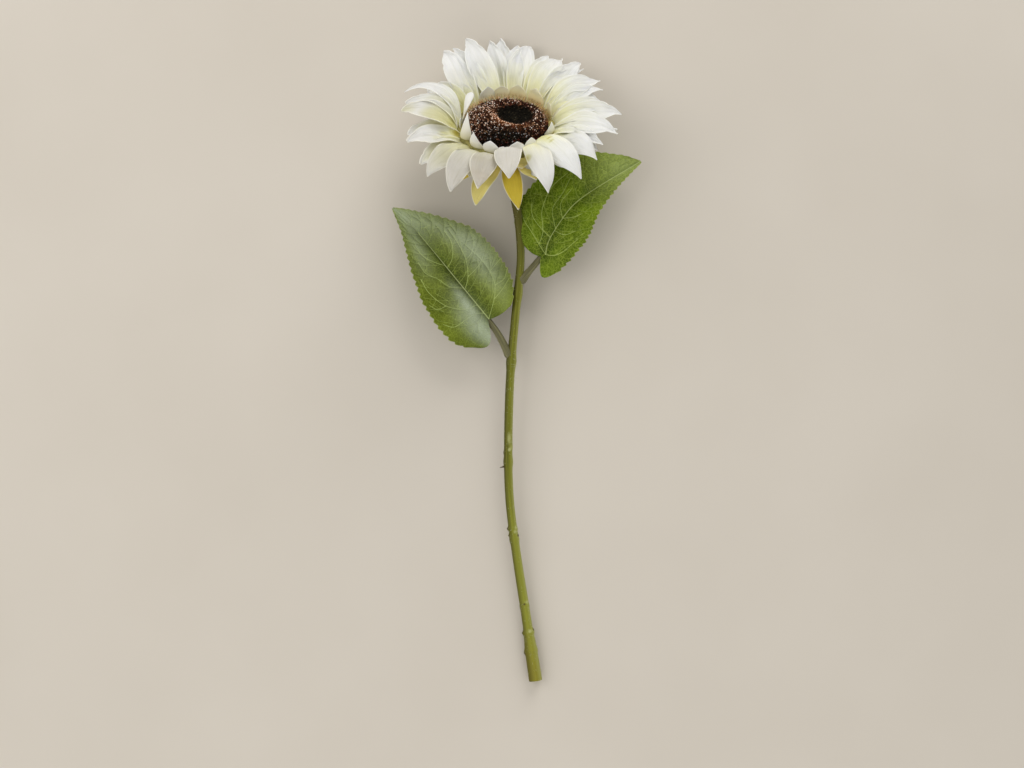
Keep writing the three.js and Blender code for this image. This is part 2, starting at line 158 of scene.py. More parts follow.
def mark(piece, name, values):
    """Stores a number on each point of a mesh for its material to read."""
    store = piece.data.attributes.get(name) or piece.data.attributes.new(name, "FLOAT", "POINT")
    count = len(piece.data.vertices)
    store.data.foreach_set("value", np.broadcast_to(np.asarray(values, np.float32), count).copy())


def marked(piece, name):
    values = np.empty(len(piece.data.vertices), np.float32)
    piece.data.attributes[name].data.foreach_get("value", values)
    return values


def pick(piece, test):
    """Opens a piece in edit mode with just the points selected that pass the test."""
    only(piece)
    bpy.ops.object.mode_set(mode="EDIT")
    bpy.ops.mesh.select_mode(type="VERT")
    cage = bmesh.from_edit_mesh(piece.data)
    for vertex in cage.verts:
        vertex.select_set(bool(test(vertex.co)))
    cage.select_flush(True)
    bmesh.update_edit_mesh(piece.data)


def open_whole(piece):
    """Opens a piece in edit mode with all of it selected."""
    only(piece)
    bpy.ops.object.mode_set(mode="EDIT")
    bpy.ops.mesh.select_all(action="SELECT")


def close_outward(piece):
    """Turns every face outward and leaves edit mode."""
    bpy.ops.mesh.select_all(action="SELECT")
    bpy.ops.mesh.normals_make_consistent(inside=False)
    only(piece)


def smooth(piece, degrees):
    only(piece)
    bpy.ops.object.shade_smooth_by_angle(angle=math.radians(degrees))


# Repeatable random draws, in the same order as the part's own source.
seed = 7


def draw():
    """A repeatable random number from 0 to 1."""
    global seed
    seed = seed * 16807 % 2147483647
    return seed / 2147483647


def jitter(amount):
    return (draw() - 0.5) * 2 * amount


def read_along(pairs, t):
    """The value at t of a line drawn through pairs of a place and a value."""
    return np.interp(t, [p[0] for p in pairs], [p[1] for p in pairs])


def bell(gap, reach, power=2):
    """1 where the gap is 0, falling softly towards 0 past the reach."""
    return np.exp(-((gap / reach) ** power))


def sampled(line, at, marks=None):
    """Points of a line at shares of it, or at marks of another kind that its points are given."""
    marks = np.linspace(0, 1, len(line)) if marks is None else marks
    return np.stack([np.interp(at, marks, line[:, k]) for k in range(3)], axis=-1)


def smooth_line(points, steps=40):
    """A line through the points that never overshoots, as evenly spaced samples."""
    p = [np.array(q, float) for q in points]
    p = [2 * p[0] - p[1], *p, 2 * p[-1] - p[-2]]
    samples = []
    for p0, p1, p2, p3 in zip(p, p[1:], p[2:], p[3:]):
        d0, d1, d2 = (np.linalg.norm(b - a) ** 0.5 for a, b in ((p0, p1), (p1, p2), (p2, p3)))
        t1 = ((p1 - p0) / d0 - (p2 - p0) / (d0 + d1) + (p2 - p1) / d1) * d1
        t2 = ((p2 - p1) / d1 - (p3 - p1) / (d1 + d2) + (p3 - p2) / d2) * d1
        for t in np.arange(steps) / steps:
            square, cube = -3 * p1 + 3 * p2 - 2 * t1 - t2, 2 * p1 - 2 * p2 + t1 + t2
            samples.append(p1 + t1 * t + square * t**2 + cube * t**3)
    samples.append(p[-2])
    samples = np.array(samples)
    along = np.concatenate([[0], np.cumsum(np.linalg.norm(np.diff(samples, axis=0), axis=1))])
    even = np.linspace(0, along[-1], len(samples))
    return sampled(samples, even, along), along[-1]


def spine_of(points):
    """A curve object through sampled points, for a Curve modifier to follow."""
    data = bpy.data.curves.new("spine", "CURVE")
    data.dimensions = "3D"
    data.twist_mode = "Z_UP"
    line = data.splines.new("POLY")
    line.points.add(len(points) - 1)
    for point, place in zip(line.points, points):
        point.co = (*place, 1)
    return linked("spine", data)


def follow(piece, spine):
    """Bends a piece that lies along +X so that it follows the spine."""
    bpy.context.view_layer.update()
    modify(piece, "CURVE", object=spine, deform_axis="POS_X")
    discard(spine)


# Petals. Lengths in the tables are millimetres and angles are degrees.

# Azimuth, how far out and how high the tip lies, the arch, and how far round the root lies from the tip.
UPPER_PETALS = [
    (272, 67, 3, 60, 2),
    (294.5, 72, -11, 58, 5),
    (314.5, 74.6, -8, 50, 0),
    (329, 74.8, -3, 46, 4),
    (349.6, 80.8, 2, 36, 0),
    (5, 82.8, 2, 34, 0),
    (32.5, 80.4, 5, 34, -5),
    (58, 75.5, 9, 36, -2),
    (78, 78.5, 12.5, 28, 0),
    (113, 75.5, 24, 26, -9),
    (126, 78, 18, 28, 8),
    (161, 77.5, 9, 42, 6),
    (176, 74, 6, 46, 6),
    (196, 73, 1, 54, 4),
    (222, 74, -9, 52, -3),
    (238.5, 73.5, -12, 52, -4),
    (254, 69, -6, 58, -2),
]
LOWER_PETALS = [
    (18, 75, 0.5, 38, 0),
    (37, 77, 4, 34, 0),
    (47, 80, 10.5, 28, -4),
    (70, 79, 1.4, 24, 0),
    (93, 81.5, 14.8, 22, 0),
    (106, 80, 5.2, 22, 0),
    (117, 78, 12, 26, 0),
    (150, 66, 4, 36, 8),
    (168, 76, 0, 38, 4),
    (186, 71, -4, 44, 4),
    (211, 70, -9, 44, 0),
    (242, 54, -11, 40, 0),
    (284, 46, -6, 40, 0),
    (300, 60, -13, 40, 0),
    (317, 64, -9, 40, 0),
    (338, 70, -4, 38, 0),
    (357, 79, -3, 32, 0),
]
HANGING_PETALS = [(250, 62, -28, 34, 14), (278, 64, -28, 34, -6)]
# What single petals do in their own way, by azimuth. Tone is how golden a petal is: under 0 is whiter, from
# 0.9 gold.
# Each patch of painted shade is a place along and across the petal, how far it reaches both ways, and its
# depth:
# 1 is olive shade, 2 is golden shade.
OWN_WAYS = {
    272: {"arch": 74, "root_radius": 29.5, "root_height": -3, "width": 20.5, "roll": 12, "tone": -0.8},
    294.5: {
        "arch": 76,
        "droop": 0.95,
        "root_radius": 30,
        "root_height": -1,
        "width": 18.5,
        "root_turn": 8,
        "painted_shade_patches": [(0.4, -1.05, 0.055, 0.5, 1.7)],
    },
    314.5: {
        "arch": 84,
        "droop": 0.8,
        "root_radius": 30.5,
        "root_height": 0,
        "width": 20,
        "root_turn": 4,
        "sway": -1.5,
        "painted_shade_patches": [
            (0.2, 0.0, 0.16, 0.6, 0.8),
            (0.27, 0.15, 0.018, 0.3, 1.8),
            (0.33, 0.05, 0.018, 0.25, 1.5),
        ],
    },
    238.5: {"arch": 58, "tone": -0.4},
    254: {"arch": 70, "tone": -0.4},
    242: {"tone": 0.7},
    250: {"width": 15.5},
    278: {"width": 14.5, "tone": 1.1},
    294: {"tone": 0.93},
    303: {"tone": 0.93},
    284: {"tone": 0.85},
    138: {"painted_shade_patches": [(0.4, 0, 0.5, 1.2, 0.9)]},
    150: {"sway": -5, "painted_shade_patches": [(0.4, 0, 0.5, 1.2, 0.9)]},
    161: {"root_turn": 19, "sway": -11, "roll": 0, "width": 11.5, "arch": 46, "tone": -0.3},
    168: {"root_turn": 12, "sway": -8, "roll": -5, "width": 13},
    170: {
        "root_turn": 10,
        "sway": -7,
        "roll": -5,
        "width": 12,
        "arch": 44,
        "painted_shade_patches": [(0.5, 0, 0.3, 1, 0.5)],
    },
    176: {
        "root_turn": 8,
        "arch": 44,
        "roll": -4,
        "sway": 0,
        "width": 21,
        "painted_shade_patches": [(0.42, 0.3, 0.3, 1.0, 1.0), (0.16, 0.2, 0.12, 0.8, 1.3), (1.0, 0, 0.25, 1.5, 0.7)],
    },
    186: {"arch": 34, "roll": -4, "sway": 0, "painted_shade_patches": [(0.5, 0, 0.4, 1, 0.7)]},
    196: {
        "arch": 34,
        "roll": -4,
        "sway": 1.5,
        "root_turn": 7,
        "root_height": -6,
        "height": -1,
        "painted_shade_patches": [(0.34, -0.3, 0.1, 0.4, 0.9), (0.5, 0.2, 0.07, 0.3, 0.5), (0.1, -0.7, 0.14, 0.6, 2.0)],
    },
    211: {"arch": 36, "painted_shade_patches": [(0.5, 0, 0.5, 1.2, 0.8)]},
    222: {"painted_shade_patches": [(0.5, 0, 0.5, 1.2, 0.6)]},
    144: {"root_turn": 33, "arch": 18},
    299: {"tone": 0.3, "width": 11},
    5: {"tone": 0.3},
    12: {"tone": 0.3},
    32.5: {"tone": 0.35},
    58: {"tone": 0.45},
    66: {"tone": 0.5},
    78: {"tone": 0.25},
}
# Small petals tucked under the front ones, most of them golden. Their gold is partly their own yellow, partly
# painted shade and painted light shining through them.
TUCKED_PETALS = [
    (294, 53, -13, 30, -8),
    (299, 50, -8.5, 30, -9),
    (303, 47, -4, 30, -10),
    (236, 55, -15, 36, 4),
]
# Narrower petals crowded in between the two layers.
MIDDLE_PETALS = [
    (84, 76, 14, 26, -3),
    (99, 77, 17, 26, -4),
    (121, 75, 19, 28, -5),
    (138, 57, 6, 30, 3),
    (170, 73, 8, 50, 5),
    (12, 77, 3.5, 36, -3),
    (25, 77, 5, 34, -3),
    (43, 76, 8, 32, 2),
    (66, 75, 10, 28, -3),
    (340, 73, 0, 40, 3),
]
# Short inner petals that stand round the disc: azimuth, height of the tip, width, how far the tip leans
# round, and the degrees that the petal's face turns.
INNER_PETALS = [
    (20, 10, 9, 0, 0),
    (49, 12.5, 14.5, 0, 0),
    (75, 10.5, 13, 0, 0),
    (96, 9, 12, 0, 0),
    (114, 10, 12, 0, 0),
    (144, 14, 6, -2, 0),
    (178, 3, 8, 0, 0),
    (208, 22, 8.6, 2.5, 40),
    (232, 11, 10, -3, 16),
    (252, 7.7, 12, -1, 0),
    (266, 4, 11, 0, 0),
    (281, 8, 12, 1.5, 0),
    (299.5, 8.5, 9, 2, -10),
    (325, 3, 10, 0, 0),
    (342, 8, 9.5, 2, -35),
]
PETAL_WIDTH = 19.5
MIDDLE_WIDTH = 15
TUCKED_WIDTH = 13
PETAL_ROLL = 14
PETAL_BEND = {"root_handle": 0.4, "tip_handle": 0.34, "droop": 1.15}
LAYERS = {
    "upper": {"radius": 34, "height": -4.2, "wider": 0},
    "lower": {"radius": 34, "height": -6.8, "wider": -1},
    "hanging": {"radius": 33, "height": -7.2, "wider": -2},
}
MIDDLE_ROOT = {"radius": 33.5, "height": -5.4}
# An arch under 0 bends a petal the other way.
INNER_ARCH = -16
# How golden the petals of each layer are. Gold is partly the petals' own yellow and partly painted light
# shining through them where they lie in shade.
LAYER_TONES = {"upper": 0, "middle": 0.15, "lower": 0.3, "tucked": 1.1, "hanging": 0.9}
# For each millimetre that a petal sags: how high its lumps are and how many degrees its tip may twist.
LIMP = {"lump": 0.45, "twist": 10}
THICK = {"petal": 0.5, "inner": 0.4, "bract": 0.8, "blade": 0.5}
# No point lies lower over the floor than this.
LOWEST = 0.1
# Edges that turn by fewer degrees than this look smooth.
SMOOTH_BELOW = 60

# Every petal starts as a flat grid of this length and half width, with these rows and columns.
MASTER_LENGTH = 50 * MM
MASTER_HALF = 10 * MM
LONG_GRID = (24, 16)
SHORT_GRID = (16, 8)
NARROWEST = 0.035


def petal_outline(t, root, fullest, point, stalk=1):
    """The share of a petal's full half width at shares t of its length."""
    rise = root + (1 - root) * np.sin(np.pi / 2 * np.minimum(1, t / fullest)) ** stalk
    fall = 1 - np.maximum(0, (t - fullest) / (1 - fullest)) ** point
    return np.maximum(rise * fall, NARROWEST)


def flat_petal(name, grid, outline, shape, nicks=()):
    """A petal that lies along +X: a grid whose rows are drawn in to the outline, then shaped.

    A nick is a place along, the side it bites, its reach and its depth.
    """
    petal = square_grid(name, *grid)
    petal.scale = (MASTER_LENGTH / 2, MASTER_HALF, 1)
    petal.location.x = MASTER_LENGTH / 2
    settle(petal)
    mark(petal, "side", places(petal)[:, 1] / MASTER_HALF)
    for u in np.arange(grid[0] + 1) / grid[0]:
        x = u * MASTER_LENGTH
        pick(petal, lambda co: abs(co.x - x) < 1e-6)
        width = float(petal_outline(u, *outline))
        bpy.ops.transform.resize(value=(1, width, 1), center_override=(x, 0, 0))
    only(petal)

    def take_shape(x, y, z):
        u = x / MASTER_LENGTH
        half = MASTER_HALF * petal_outline(u, *outline)
        across, lift = shape(u, y / half, half)
        return x, across, z + lift

    sculpt(petal, take_shape)
    modify(petal, "SUBSURF", levels=1, render_levels=1)
    side = marked(petal, "side")

    def bite(x, y, z):
        for place, facing, reach, depth in nicks:
            near = bell(x / MASTER_LENGTH - place, reach)
            y = y * (1 - depth * near * np.maximum(0, facing * side) ** 3)
        return x, y, z

    sculpt(petal, bite)
    return petal


def pleats(folds, wave, cup, crease=0.05, rim=0.0, pinch=0.0):
    """A petal's cross section: rolled across (cup over 0 lifts its sides), with a crease along its
    middle, folds, waved sides, a rim that curls up and a tip that is pinched together.

    A fold is its place across, its height and its spread. A wave is its size, its turns and its phase.
    """
    tip_from, rim_from = 0.7, 0.72

    def shape(u, w, half):
        bend = cup * (1 - 0.5 * u) + pinch * np.maximum(0, u - tip_from) / 0.3
        bend = np.where(np.abs(bend) < 1e-3, 1e-3, bend)
        across = half * np.sin(bend * w) / bend
        height = half * ((1 - np.cos(bend * w)) / bend + crease * (np.abs(w) - 0.5))
        swell = np.sin(np.pi * np.clip(u, 0, 1)) ** 0.6
        for place, depth, spread in folds:
            height = height + depth * MM * swell * bell(w - place, spread)
        size, turns, phase = wave
        ripple = np.sin(turns * 2 * np.pi * u + phase + 1.6 * np.sign(w))
        height = height + size * MM * np.abs(w) ** 3 * u * ripple
        curl = np.maximum(0, (np.abs(w) - rim_from) / 0.28) ** 2
        return across, height + rim * MM * curl * swell

    return shape


# Outlines: width of the root, place of the fullest part, bluntness of the tip and length of a stalk.
LONG_OUTLINE = (0.52, 0.5, 1.8)
FULL_OUTLINE = (0.5, 0.42, 2.1)
BLUNT_OUTLINE = (0.7, 0.4, 2.5)
SHORT_OUTLINE = (0.75, 0.45, 2.6)
POINTED_OUTLINE = (0.7, 0.25, 1.3)
SPOON_OUTLINE = (0.16, 0.84, 3.2, 4.5)
# Families of long petals: outline, how far the sides roll up, rim, pinch of the tip, depth of the folds.
FAMILIES = {
    "back": (LONG_OUTLINE, 0.35, 0.7, 1.0, 0.5),
    "side": (LONG_OUTLINE, 0.6, 0.6, 0.7, 0.45),
    "front": (FULL_OUTLINE, -0.6, 0.25, -0.4, 0.3),
    "blunt": (BLUNT_OUTLINE, -0.6, 0.25, -0.4, 0.3),
}
# Small nicks in the tips of the back and side petals.
NICKS = [
    [(0.87, 1, 0.03, 0.2), (0.78, -1, 0.035, 0.14)],
    [(0.84, -1, 0.03, 0.2), (0.7, 1, 0.03, 0.12)],
    [(0.8, 1, 0.03, 0.18), (0.88, -1, 0.025, 0.2)],
]
FOLDS = [
    [(-0.62, 0.8, 0.1), (-0.25, -0.7, 0.09), (0.1, 0.7, 0.08), (0.34, -0.6, 0.08), (0.62, 0.7, 0.1)],
    [(-0.66, -0.6, 0.09), (-0.35, 0.9, 0.1), (0.0, -0.7, 0.07), (0.3, 0.7, 0.09), (0.6, -0.6, 0.08)],
    [(-0.5, 1.0, 0.12), (-0.12, -0.6, 0.08), (0.18, 0.6, 0.08), (0.45, -0.8, 0.1), (0.7, 0.6, 0.08)],
]
WAVES = [(1.2, 1.6, 0.3), (1.6, 1.2, 2.0), (1.1, 2.1, 4.1)]


def petal_masters():
    masters = {}
    for family, (outline, cup, rim, pinch, depth) in FAMILIES.items():
        for k, (folds, wave) in enumerate(zip(FOLDS, WAVES)):
            scaled = [(place, height * depth, spread) for place, height, spread in folds]
            rolled = cup * (0.8 + 0.2 * k)
            section = pleats(scaled, wave, rolled, crease=0.04, rim=rim, pinch=pinch)
            nicks = NICKS[k] if family in ("back", "side") else ()
            name = f"petal_{family}_{k}"
            masters[family, k] = flat_petal(name, LONG_GRID, outline, section, nicks)
    return masters


BLUNT_PETAL = 272
FRONT = (212, 335)
BACK = (50, 135)
SPOON_PETAL = 144


def family_at(azimuth):
    if azimuth == BLUNT_PETAL:
        return "blunt"
    if FRONT[0] < azimuth < FRONT[1]:
        return "front"
    return "back" if BACK[0] < azimuth < BACK[1] else "side"


def turned(degrees, axis):
    return Matrix.Rotation(math.radians(degrees), 4, axis)


def polar(azimuth, radius, height):
    angle = math.radians(azimuth)
    return Vector((math.cos(angle) * radius, math.sin(angle) * radius, height)) * MM


def climbing(degrees):
    """The direction that climbs from +X towards +Z."""
    return Vector((math.cos(math.radians(degrees)), 0, math.sin(math.radians(degrees))))


def arch(piece, chord, degrees, droop):
    """Bends a flat blade over the straight line from its root to its tip, both at z = 0."""
    bpy.ops.curve.primitive_bezier_curve_add()
    spine = bpy.context.object
    spine.data.twist_mode = "Z_UP"
    spine.data.resolution_u = 32
    root, tip = spine.data.splines[0].bezier_points
    for point in (root, tip):
        point.handle_left_type = point.handle_right_type = "FREE"
    leave = climbing(degrees)
    arrive = climbing(-degrees * droop)
    root.co, tip.co = (0, 0, 0), (chord, 0, 0)
    root.handle_right = leave * chord * PETAL_BEND["root_handle"]
    root.handle_left = -root.handle_right
    tip.handle_left = tip.co - arrive * chord * PETAL_BEND["tip_handle"]
    tip.handle_right = tip.co + arrive * chord * PETAL_BEND["tip_handle"]
    length = spine.data.splines[0].calc_length()
    piece.data.transform(Matrix.Diagonal((length / MASTER_LENGTH, 1, 1, 1)))
    follow(piece, spine)


# How much painted shade the petals get round the head, by azimuth: most at the front, which the light from
# the back reaches least.
PAINTED_SHADE_ROUND = [(145, 0), (160, 0.12), (176, 0.36), (196, 0.36), (222, 0.62), (238, 0.86)]
PAINTED_SHADE_ROUND += [(254, 1.15), (272, 0.78), (294, 0.24), (314, 0), (345, 0)]
shade_rng = np.random.default_rng(5)


def grown(master, shape, thickness, tone, limp=0.0):
    """A copy of a flat blade, bent over its arch and set on the head between its root and its tip.

    thickness is in millimetres. limp is how far, in millimetres, it sags into soft lumps of its own.
    """
    petal = linked("petal", master.data.copy())
    lumps = shade_rng.uniform((0.8, -1.6, 0), (2.2, 1.6, FULL_TURN), (3, 3))
    twist = shade_rng.uniform(-1, 1) * LIMP["twist"] * limp
    scale = shape["width"] / 2 * MM / MASTER_HALF
    petal.data.transform(Matrix.Diagonal((1, scale, scale, 1)))

    def sway_and_roll(x, y, z):
        u = x / MASTER_LENGTH
        w = y / MASTER_HALF
        for turns, slant, phase in lumps:
            wave = np.sin(2 * np.pi * turns * u + slant * 2 * w + phase)
            z = z + limp * MM * LIMP["lump"] * wave * np.minimum(1, 3 * u)
        y = y + (shape["sway"] * np.sin(np.pi * u) + shape.get("lean", 0) * u) * MM
        roll = np.radians(shape["roll"] * np.minimum(1, u * 2) + twist * u**2)
        return x, y * np.cos(roll) - z * np.sin(roll), y * np.sin(roll) + z * np.cos(roll)

    along, side = places(petal)[:, 0] / MASTER_LENGTH, marked(petal, "side")
    # Patches of painted shade: olive and golden shade laid on a petal's colour, on faces turned from the
    # light, in folds and at roots.
    painted_shade_patch = np.zeros_like(along)
    for u, w, reach, spread, depth in shape.get("painted_shade_patches", []):
        away = (((along - u) / reach) ** 2 + ((side - w) / spread) ** 2) ** 1.5
        painted_shade_patch = np.maximum(painted_shade_patch, depth * np.exp(-away))
    mark(petal, "painted_shade_patch", painted_shade_patch)
    sculpt(petal, sway_and_roll)
    root = polar(shape["azimuth"] + shape["root_turn"], shape["root_radius"], shape["root_height"])
    tip = polar(shape["azimuth"], shape["reach"], shape["height"])
    line = tip - root
    arch(petal, line.length, shape["arch"], shape.get("droop", PETAL_BEND["droop"]))
    slope = math.degrees(math.atan2(line.z, line.to_2d().length))
    heading = math.degrees(math.atan2(line.y, line.x)) + shape.get("turn", 0)
    petal.data.transform(HEAD @ Matrix.Translation(root) @ turned(heading, "Z") @ turned(-slope, "Y"))
    modify(petal, "SOLIDIFY", thickness=thickness * MM, offset=0)
    mark(petal, "tone", tone)
    # Each petal's share of the painted shade, less on golden petals.
    mark(petal, "painted_front_shade", read_along(PAINTED_SHADE_ROUND, shape["azimuth"] % 360) * min(1, max(0, 1 - tone)))
    mark(petal, "shade", shade_rng.uniform(-1, 1))
    return petal


SHAPE_KEYS = ("azimuth", "reach", "height", "arch", "root_turn", "root_radius", "root_height")
SHAPE_KEYS += ("width", "roll", "sway")


def shape_of(*values, **more):
    return {**dict(zip(SHAPE_KEYS, values)), **more}


def own_way(shape):
    return {**shape, **OWN_WAYS.get(shape["azimuth"], {})}


def roll_at(azimuth):
    """How far a petal is turned about its own length: most at the left and the right."""
    return PETAL_ROLL * max(-1, min(1, 4 * math.cos(math.radians(azimuth))))


def long_shape(row, layer):
    width = PETAL_WIDTH + layer["wider"] + jitter(0.8)
    roll = roll_at(row[0]) + jitter(2)
    return own_way(shape_of(*row, layer["radius"], layer["height"], width, roll, jitter(2)))


def middle_shape(row, width):
    width = width + shade_rng.uniform(-1, 1)
    sway = shade_rng.uniform(-2, 2)
    return own_way(
        shape_of(*row, MIDDLE_ROOT["radius"], MIDDLE_ROOT["height"], width, roll_at(row[0]), sway)
    )


def inner_shape(row):
    azimuth, height, width, lean, turn = row
    # A petal that shows its side stands a little further out than the others.
    reach, root = (0.7, 0.4) if turn > 30 else (0.3, 0)
    place = (azimuth, INNER_RADIUS + reach, height, INNER_ARCH, 0, INNER_RADIUS + root)
    return own_way(
        shape_of(*place, LAYERS["upper"]["height"], width, 0, jitter(0.5), lean=lean, turn=turn)
    )


def rest_on_floor(piece):
    sculpt(piece, lambda x, y, z: (x, y, np.maximum(z, LOWEST * MM)))


def inner_masters():
    forms = {
        "round": (SHORT_OUTLINE, pleats([(0, 0.5, 0.3)], (0.6, 1, 0), cup=0.3)),
        "pointed": (POINTED_OUTLINE, pleats([(0, 0.5, 0.2)], (0.3, 1, 0), cup=0.4, crease=0.1)),
        "spoon": (SPOON_OUTLINE, pleats([(0, 0.5, 0.3)], (0.3, 1, 0), cup=0.9)),
    }
    return {name: flat_petal(f"inner_{name}", SHORT_GRID, *form) for name, form in forms.items()}


def inner_form(azimuth):
    if azimuth == SPOON_PETAL:
        return "spoon"
    return "pointed" if 190 < azimuth < 240 or azimuth > 320 else "round"


# How far the inner petals are tan instead of cream, by azimuth.
TAN_INNER = [(0, 0.1), (19, 0.1), (20, 0.5), (76, 0.42), (96, 0.36), (114, 0.2), (130, 0.1), (360, 0.1)]


def make_petals():
    tables = {"upper": UPPER_PETALS, "lower": LOWER_PETALS, "hanging": HANGING_PETALS}
    shapes = {name: [long_shape(row, LAYERS[name]) for row in rows] for name, rows in tables.items()}
    inner_shapes = [inner_shape(row) for row in INNER_PETALS]
    shapes["middle"] = [middle_shape(row, MIDDLE_WIDTH) for row in MIDDLE_PETALS]
    shapes["tucked"] = [middle_shape(row, TUCKED_WIDTH) for row in TUCKED_PETALS]
    masters = petal_masters()
    layers = {}
    for name, group in shapes.items():
        layers[name] = []
        for k, shape in enumerate(group):
            tone = shape.get("tone", LAYER_TONES[name])
            master = masters[family_at(shape["azimuth"]), k % len(FOLDS)]
            layers[name].append(grown(master, shape, THICK["petal"], tone, limp=1.0))
    short = inner_masters()
    layers["inner"] = []
    for shape in inner_shapes:
        tone = read_along(TAN_INNER, shape["azimuth"])
        master = short[inner_form(shape["azimuth"])]
        layers["inner"].append(grown(master, shape, THICK["inner"], tone, limp=0.3))
    discard(*short.values(), *masters.values())
    bloom = {name: joined(pieces, f"petals_{name}") for name, pieces in layers.items()}
    for piece in bloom.values():
        rest_on_floor(piece)
    return bloom


def ring_from(profile, name, sides):
    """A closed body round the head's axis: a ring of points drawn up through a profile."""
    bpy.ops.mesh.primitive_circle_add(vertices=sides, radius=profile[0][0] * MM, fill_type="NGON")
    body = bpy.context.object
    body.location.z = profile[0][1] * MM
    body = added(name)
    open_whole(body)
    for (r0, z0), (r1, z1) in zip(profile, profile[1:]):
        bpy.ops.mesh.extrude_region_move(TRANSFORM_OT_translate={"value": (0, 0, (z1 - z0) * MM)})
        bpy.ops.transform.resize(value=(r1 / r0, r1 / r0, 1), center_override=(0, 0, z1 * MM))
    close_outward(body)
    return body


def make_ring():
    """The ring that the petals grow from."""
    radius, low, top = COLLAR["radius"], COLLAR["bottom"], COLLAR["top"]
    rings = [(radius - 3, low), (radius, low + 2), (radius, top - 1), (radius - 1, top), (2, top)]
    ring = ring_from(rings, "petal_ring", sides=72)
    ring.data.transform(HEAD)
    return ring


# Disc. Places on it are millimetres.

FLORET_COUNT = 2300
FLORET_FIELD = 28.6
FLORET = {"sides": 5, "radius": 0.62, "height": 2.1, "mouth": 0.85, "depth": 0.6, "sink": 0.8}
# The share of florets with a grain in the mouth: on the dome, more round the crater, fewer in it.
GRAINS = {"radius": 0.43, "on_dome": 0.3, "round_crater": 0.27, "in_crater": -0.29}
# Where the florets round the crater are warmest, and how far forward the front slope with painted shade
# starts and ends.
WARM = {"azimuth": 240, "at": 1.15, "reach": 0.25}
FRONT_SLOPE = {"start": 13, "end": 22}
BRISTLES = {"count": 2900, "length": 3.8, "radius": 0.2, "rim": (25.2, 29.4), "sink": 0.5}
GOLDEN_ANGLE = math.radians(137.508)
# How far the solid under the florets lies below the disc's own height.
BASE_DEPTH = 1.2


def from_crater(x, y):
    """How far a place is from the middle of the crater: 1 is its rim."""
    return np.hypot(x - CRATER["x"], y - CRATER["y"]) / CRATER["radius"]


def disc_height(x, y):
    share = np.minimum(1, np.hypot(x, y) / DISC_RADIUS)
    slump = DISC_SLUMP * np.clip((y + 6) / 30, 0, 1) ** 1.5
    crater = CRATER["depth"] * np.exp(-(from_crater(x, y) ** 4))
    return DISC_DOME * (1 - share**3) - slump * (1 - share**6) - crater


def disc_normal(x, y):
    step = 0.2
    slope_x = (disc_height(x + step, y) - disc_height(x - step, y)) / (2 * step)
    slope_y = (disc_height(x, y + step) - disc_height(x, y - step)) / (2 * step)
    return Vector((-slope_x, -slope_y, 1)).normalized()


def disc_base():
    """The solid under the florets."""
    rings = [(DISC_RADIUS - 0.6, DISC_FLOOR)]
    rings += [(DISC_RADIUS * share - 0.6, 0) for share in np.linspace(1, 0.06, 20)]
    base = ring_from(rings, "disc_base", sides=64)

    def dome(x, y, z):
        height = disc_height(x / MM, y / MM) - BASE_DEPTH
        return x, y, np.where(z > DISC_FLOOR * MM + 1e-6, np.maximum(height, -1) * MM, z)

    sculpt(base, dome)
    smooth(base, degrees=50)
    base.data.transform(HEAD)
    return base


def floret_master():
    """A small open tube: a cone frustum whose top is set in and pressed down."""
    radius, height, depth = (FLORET[key] * MM for key in ("radius", "height", "depth"))
    mouth = FLORET["mouth"]
    bpy.ops.mesh.primitive_cone_add(
        vertices=FLORET["sides"],
        radius1=radius * 0.75,
        radius2=radius,
        depth=height,
        end_fill_type="NGON",
    )
    bpy.context.object.location.z = height / 2
    floret = added("floret_master")
    pick(floret, lambda co: co.z > height * 0.99)
    bpy.ops.transform.resize(value=(mouth, mouth, 1), center_override=(0, 0, height))
    bpy.ops.mesh.inset(thickness=radius * 0.28)
    bpy.ops.transform.translate(value=(0, 0, -depth))
    only(floret)
    return floret


def hair_master(length, radius):
    """A thin spike. Its length and radius are in millimetres."""
    length, radius = length * MM, radius * MM
    bpy.ops.mesh.primitive_cone_add(vertices=3, radius1=radius, radius2=0, depth=length)
    bpy.context.object.location.z = length / 2
    return added("hair_master")


def scatter(master, transforms, values, name):
    """Many copies of a small mesh in one piece, each with its own numbers for the material."""
    co = places(master)
    count = len(co)
    loops = [np.array(p.vertices) for p in master.data.polygons]
    points, faces = [], []
    for k, transform in enumerate(transforms):
        matrix = np.array(transform)
        points.append(co @ matrix[:3, :3].T + matrix[:3, 3])
        faces.extend((loop + k * count).tolist() for loop in loops)
    mesh = bpy.data.meshes.new(name)
    mesh.from_pydata(np.concatenate(points).tolist(), [], faces)
    piece = linked(name, mesh)
    up = np.tile((co[:, 2] - co[:, 2].min()) / np.ptp(co[:, 2]), len(transforms))
    mark(piece, "up", up)
    for key, value in values.items():
        mark(piece, key, np.repeat(value, count))
    discard(master)
    return piece


def aimed(direction):
    """A turn that points +Z in a direction."""
    return direction.to_track_quat("Z", "Y").to_matrix().to_4x4()


def upright(x, y, normal, size, spin, tall=1.0, sink=FLORET["sink"]):
    """A floret's place on the head at x, y, along the normal, sunk below the disc's own height."""
    place = Vector((x, y, float(disc_height(x, y)) - sink)) * MM
    scale = Matrix.Diagonal((size, size, size * tall, 1))
    return HEAD @ Matrix.Translation(place) @ aimed(normal) @ Matrix.Rotation(spin, 4, "Z") @ scale


def front_slope_shade(y):
    """How far a place on the disc lies on its front slope, which gets painted shade."""
    start, end = FRONT_SLOPE["start"], FRONT_SLOPE["end"]
    return float(np.clip((-y - start) / (end - start), 0, 1))


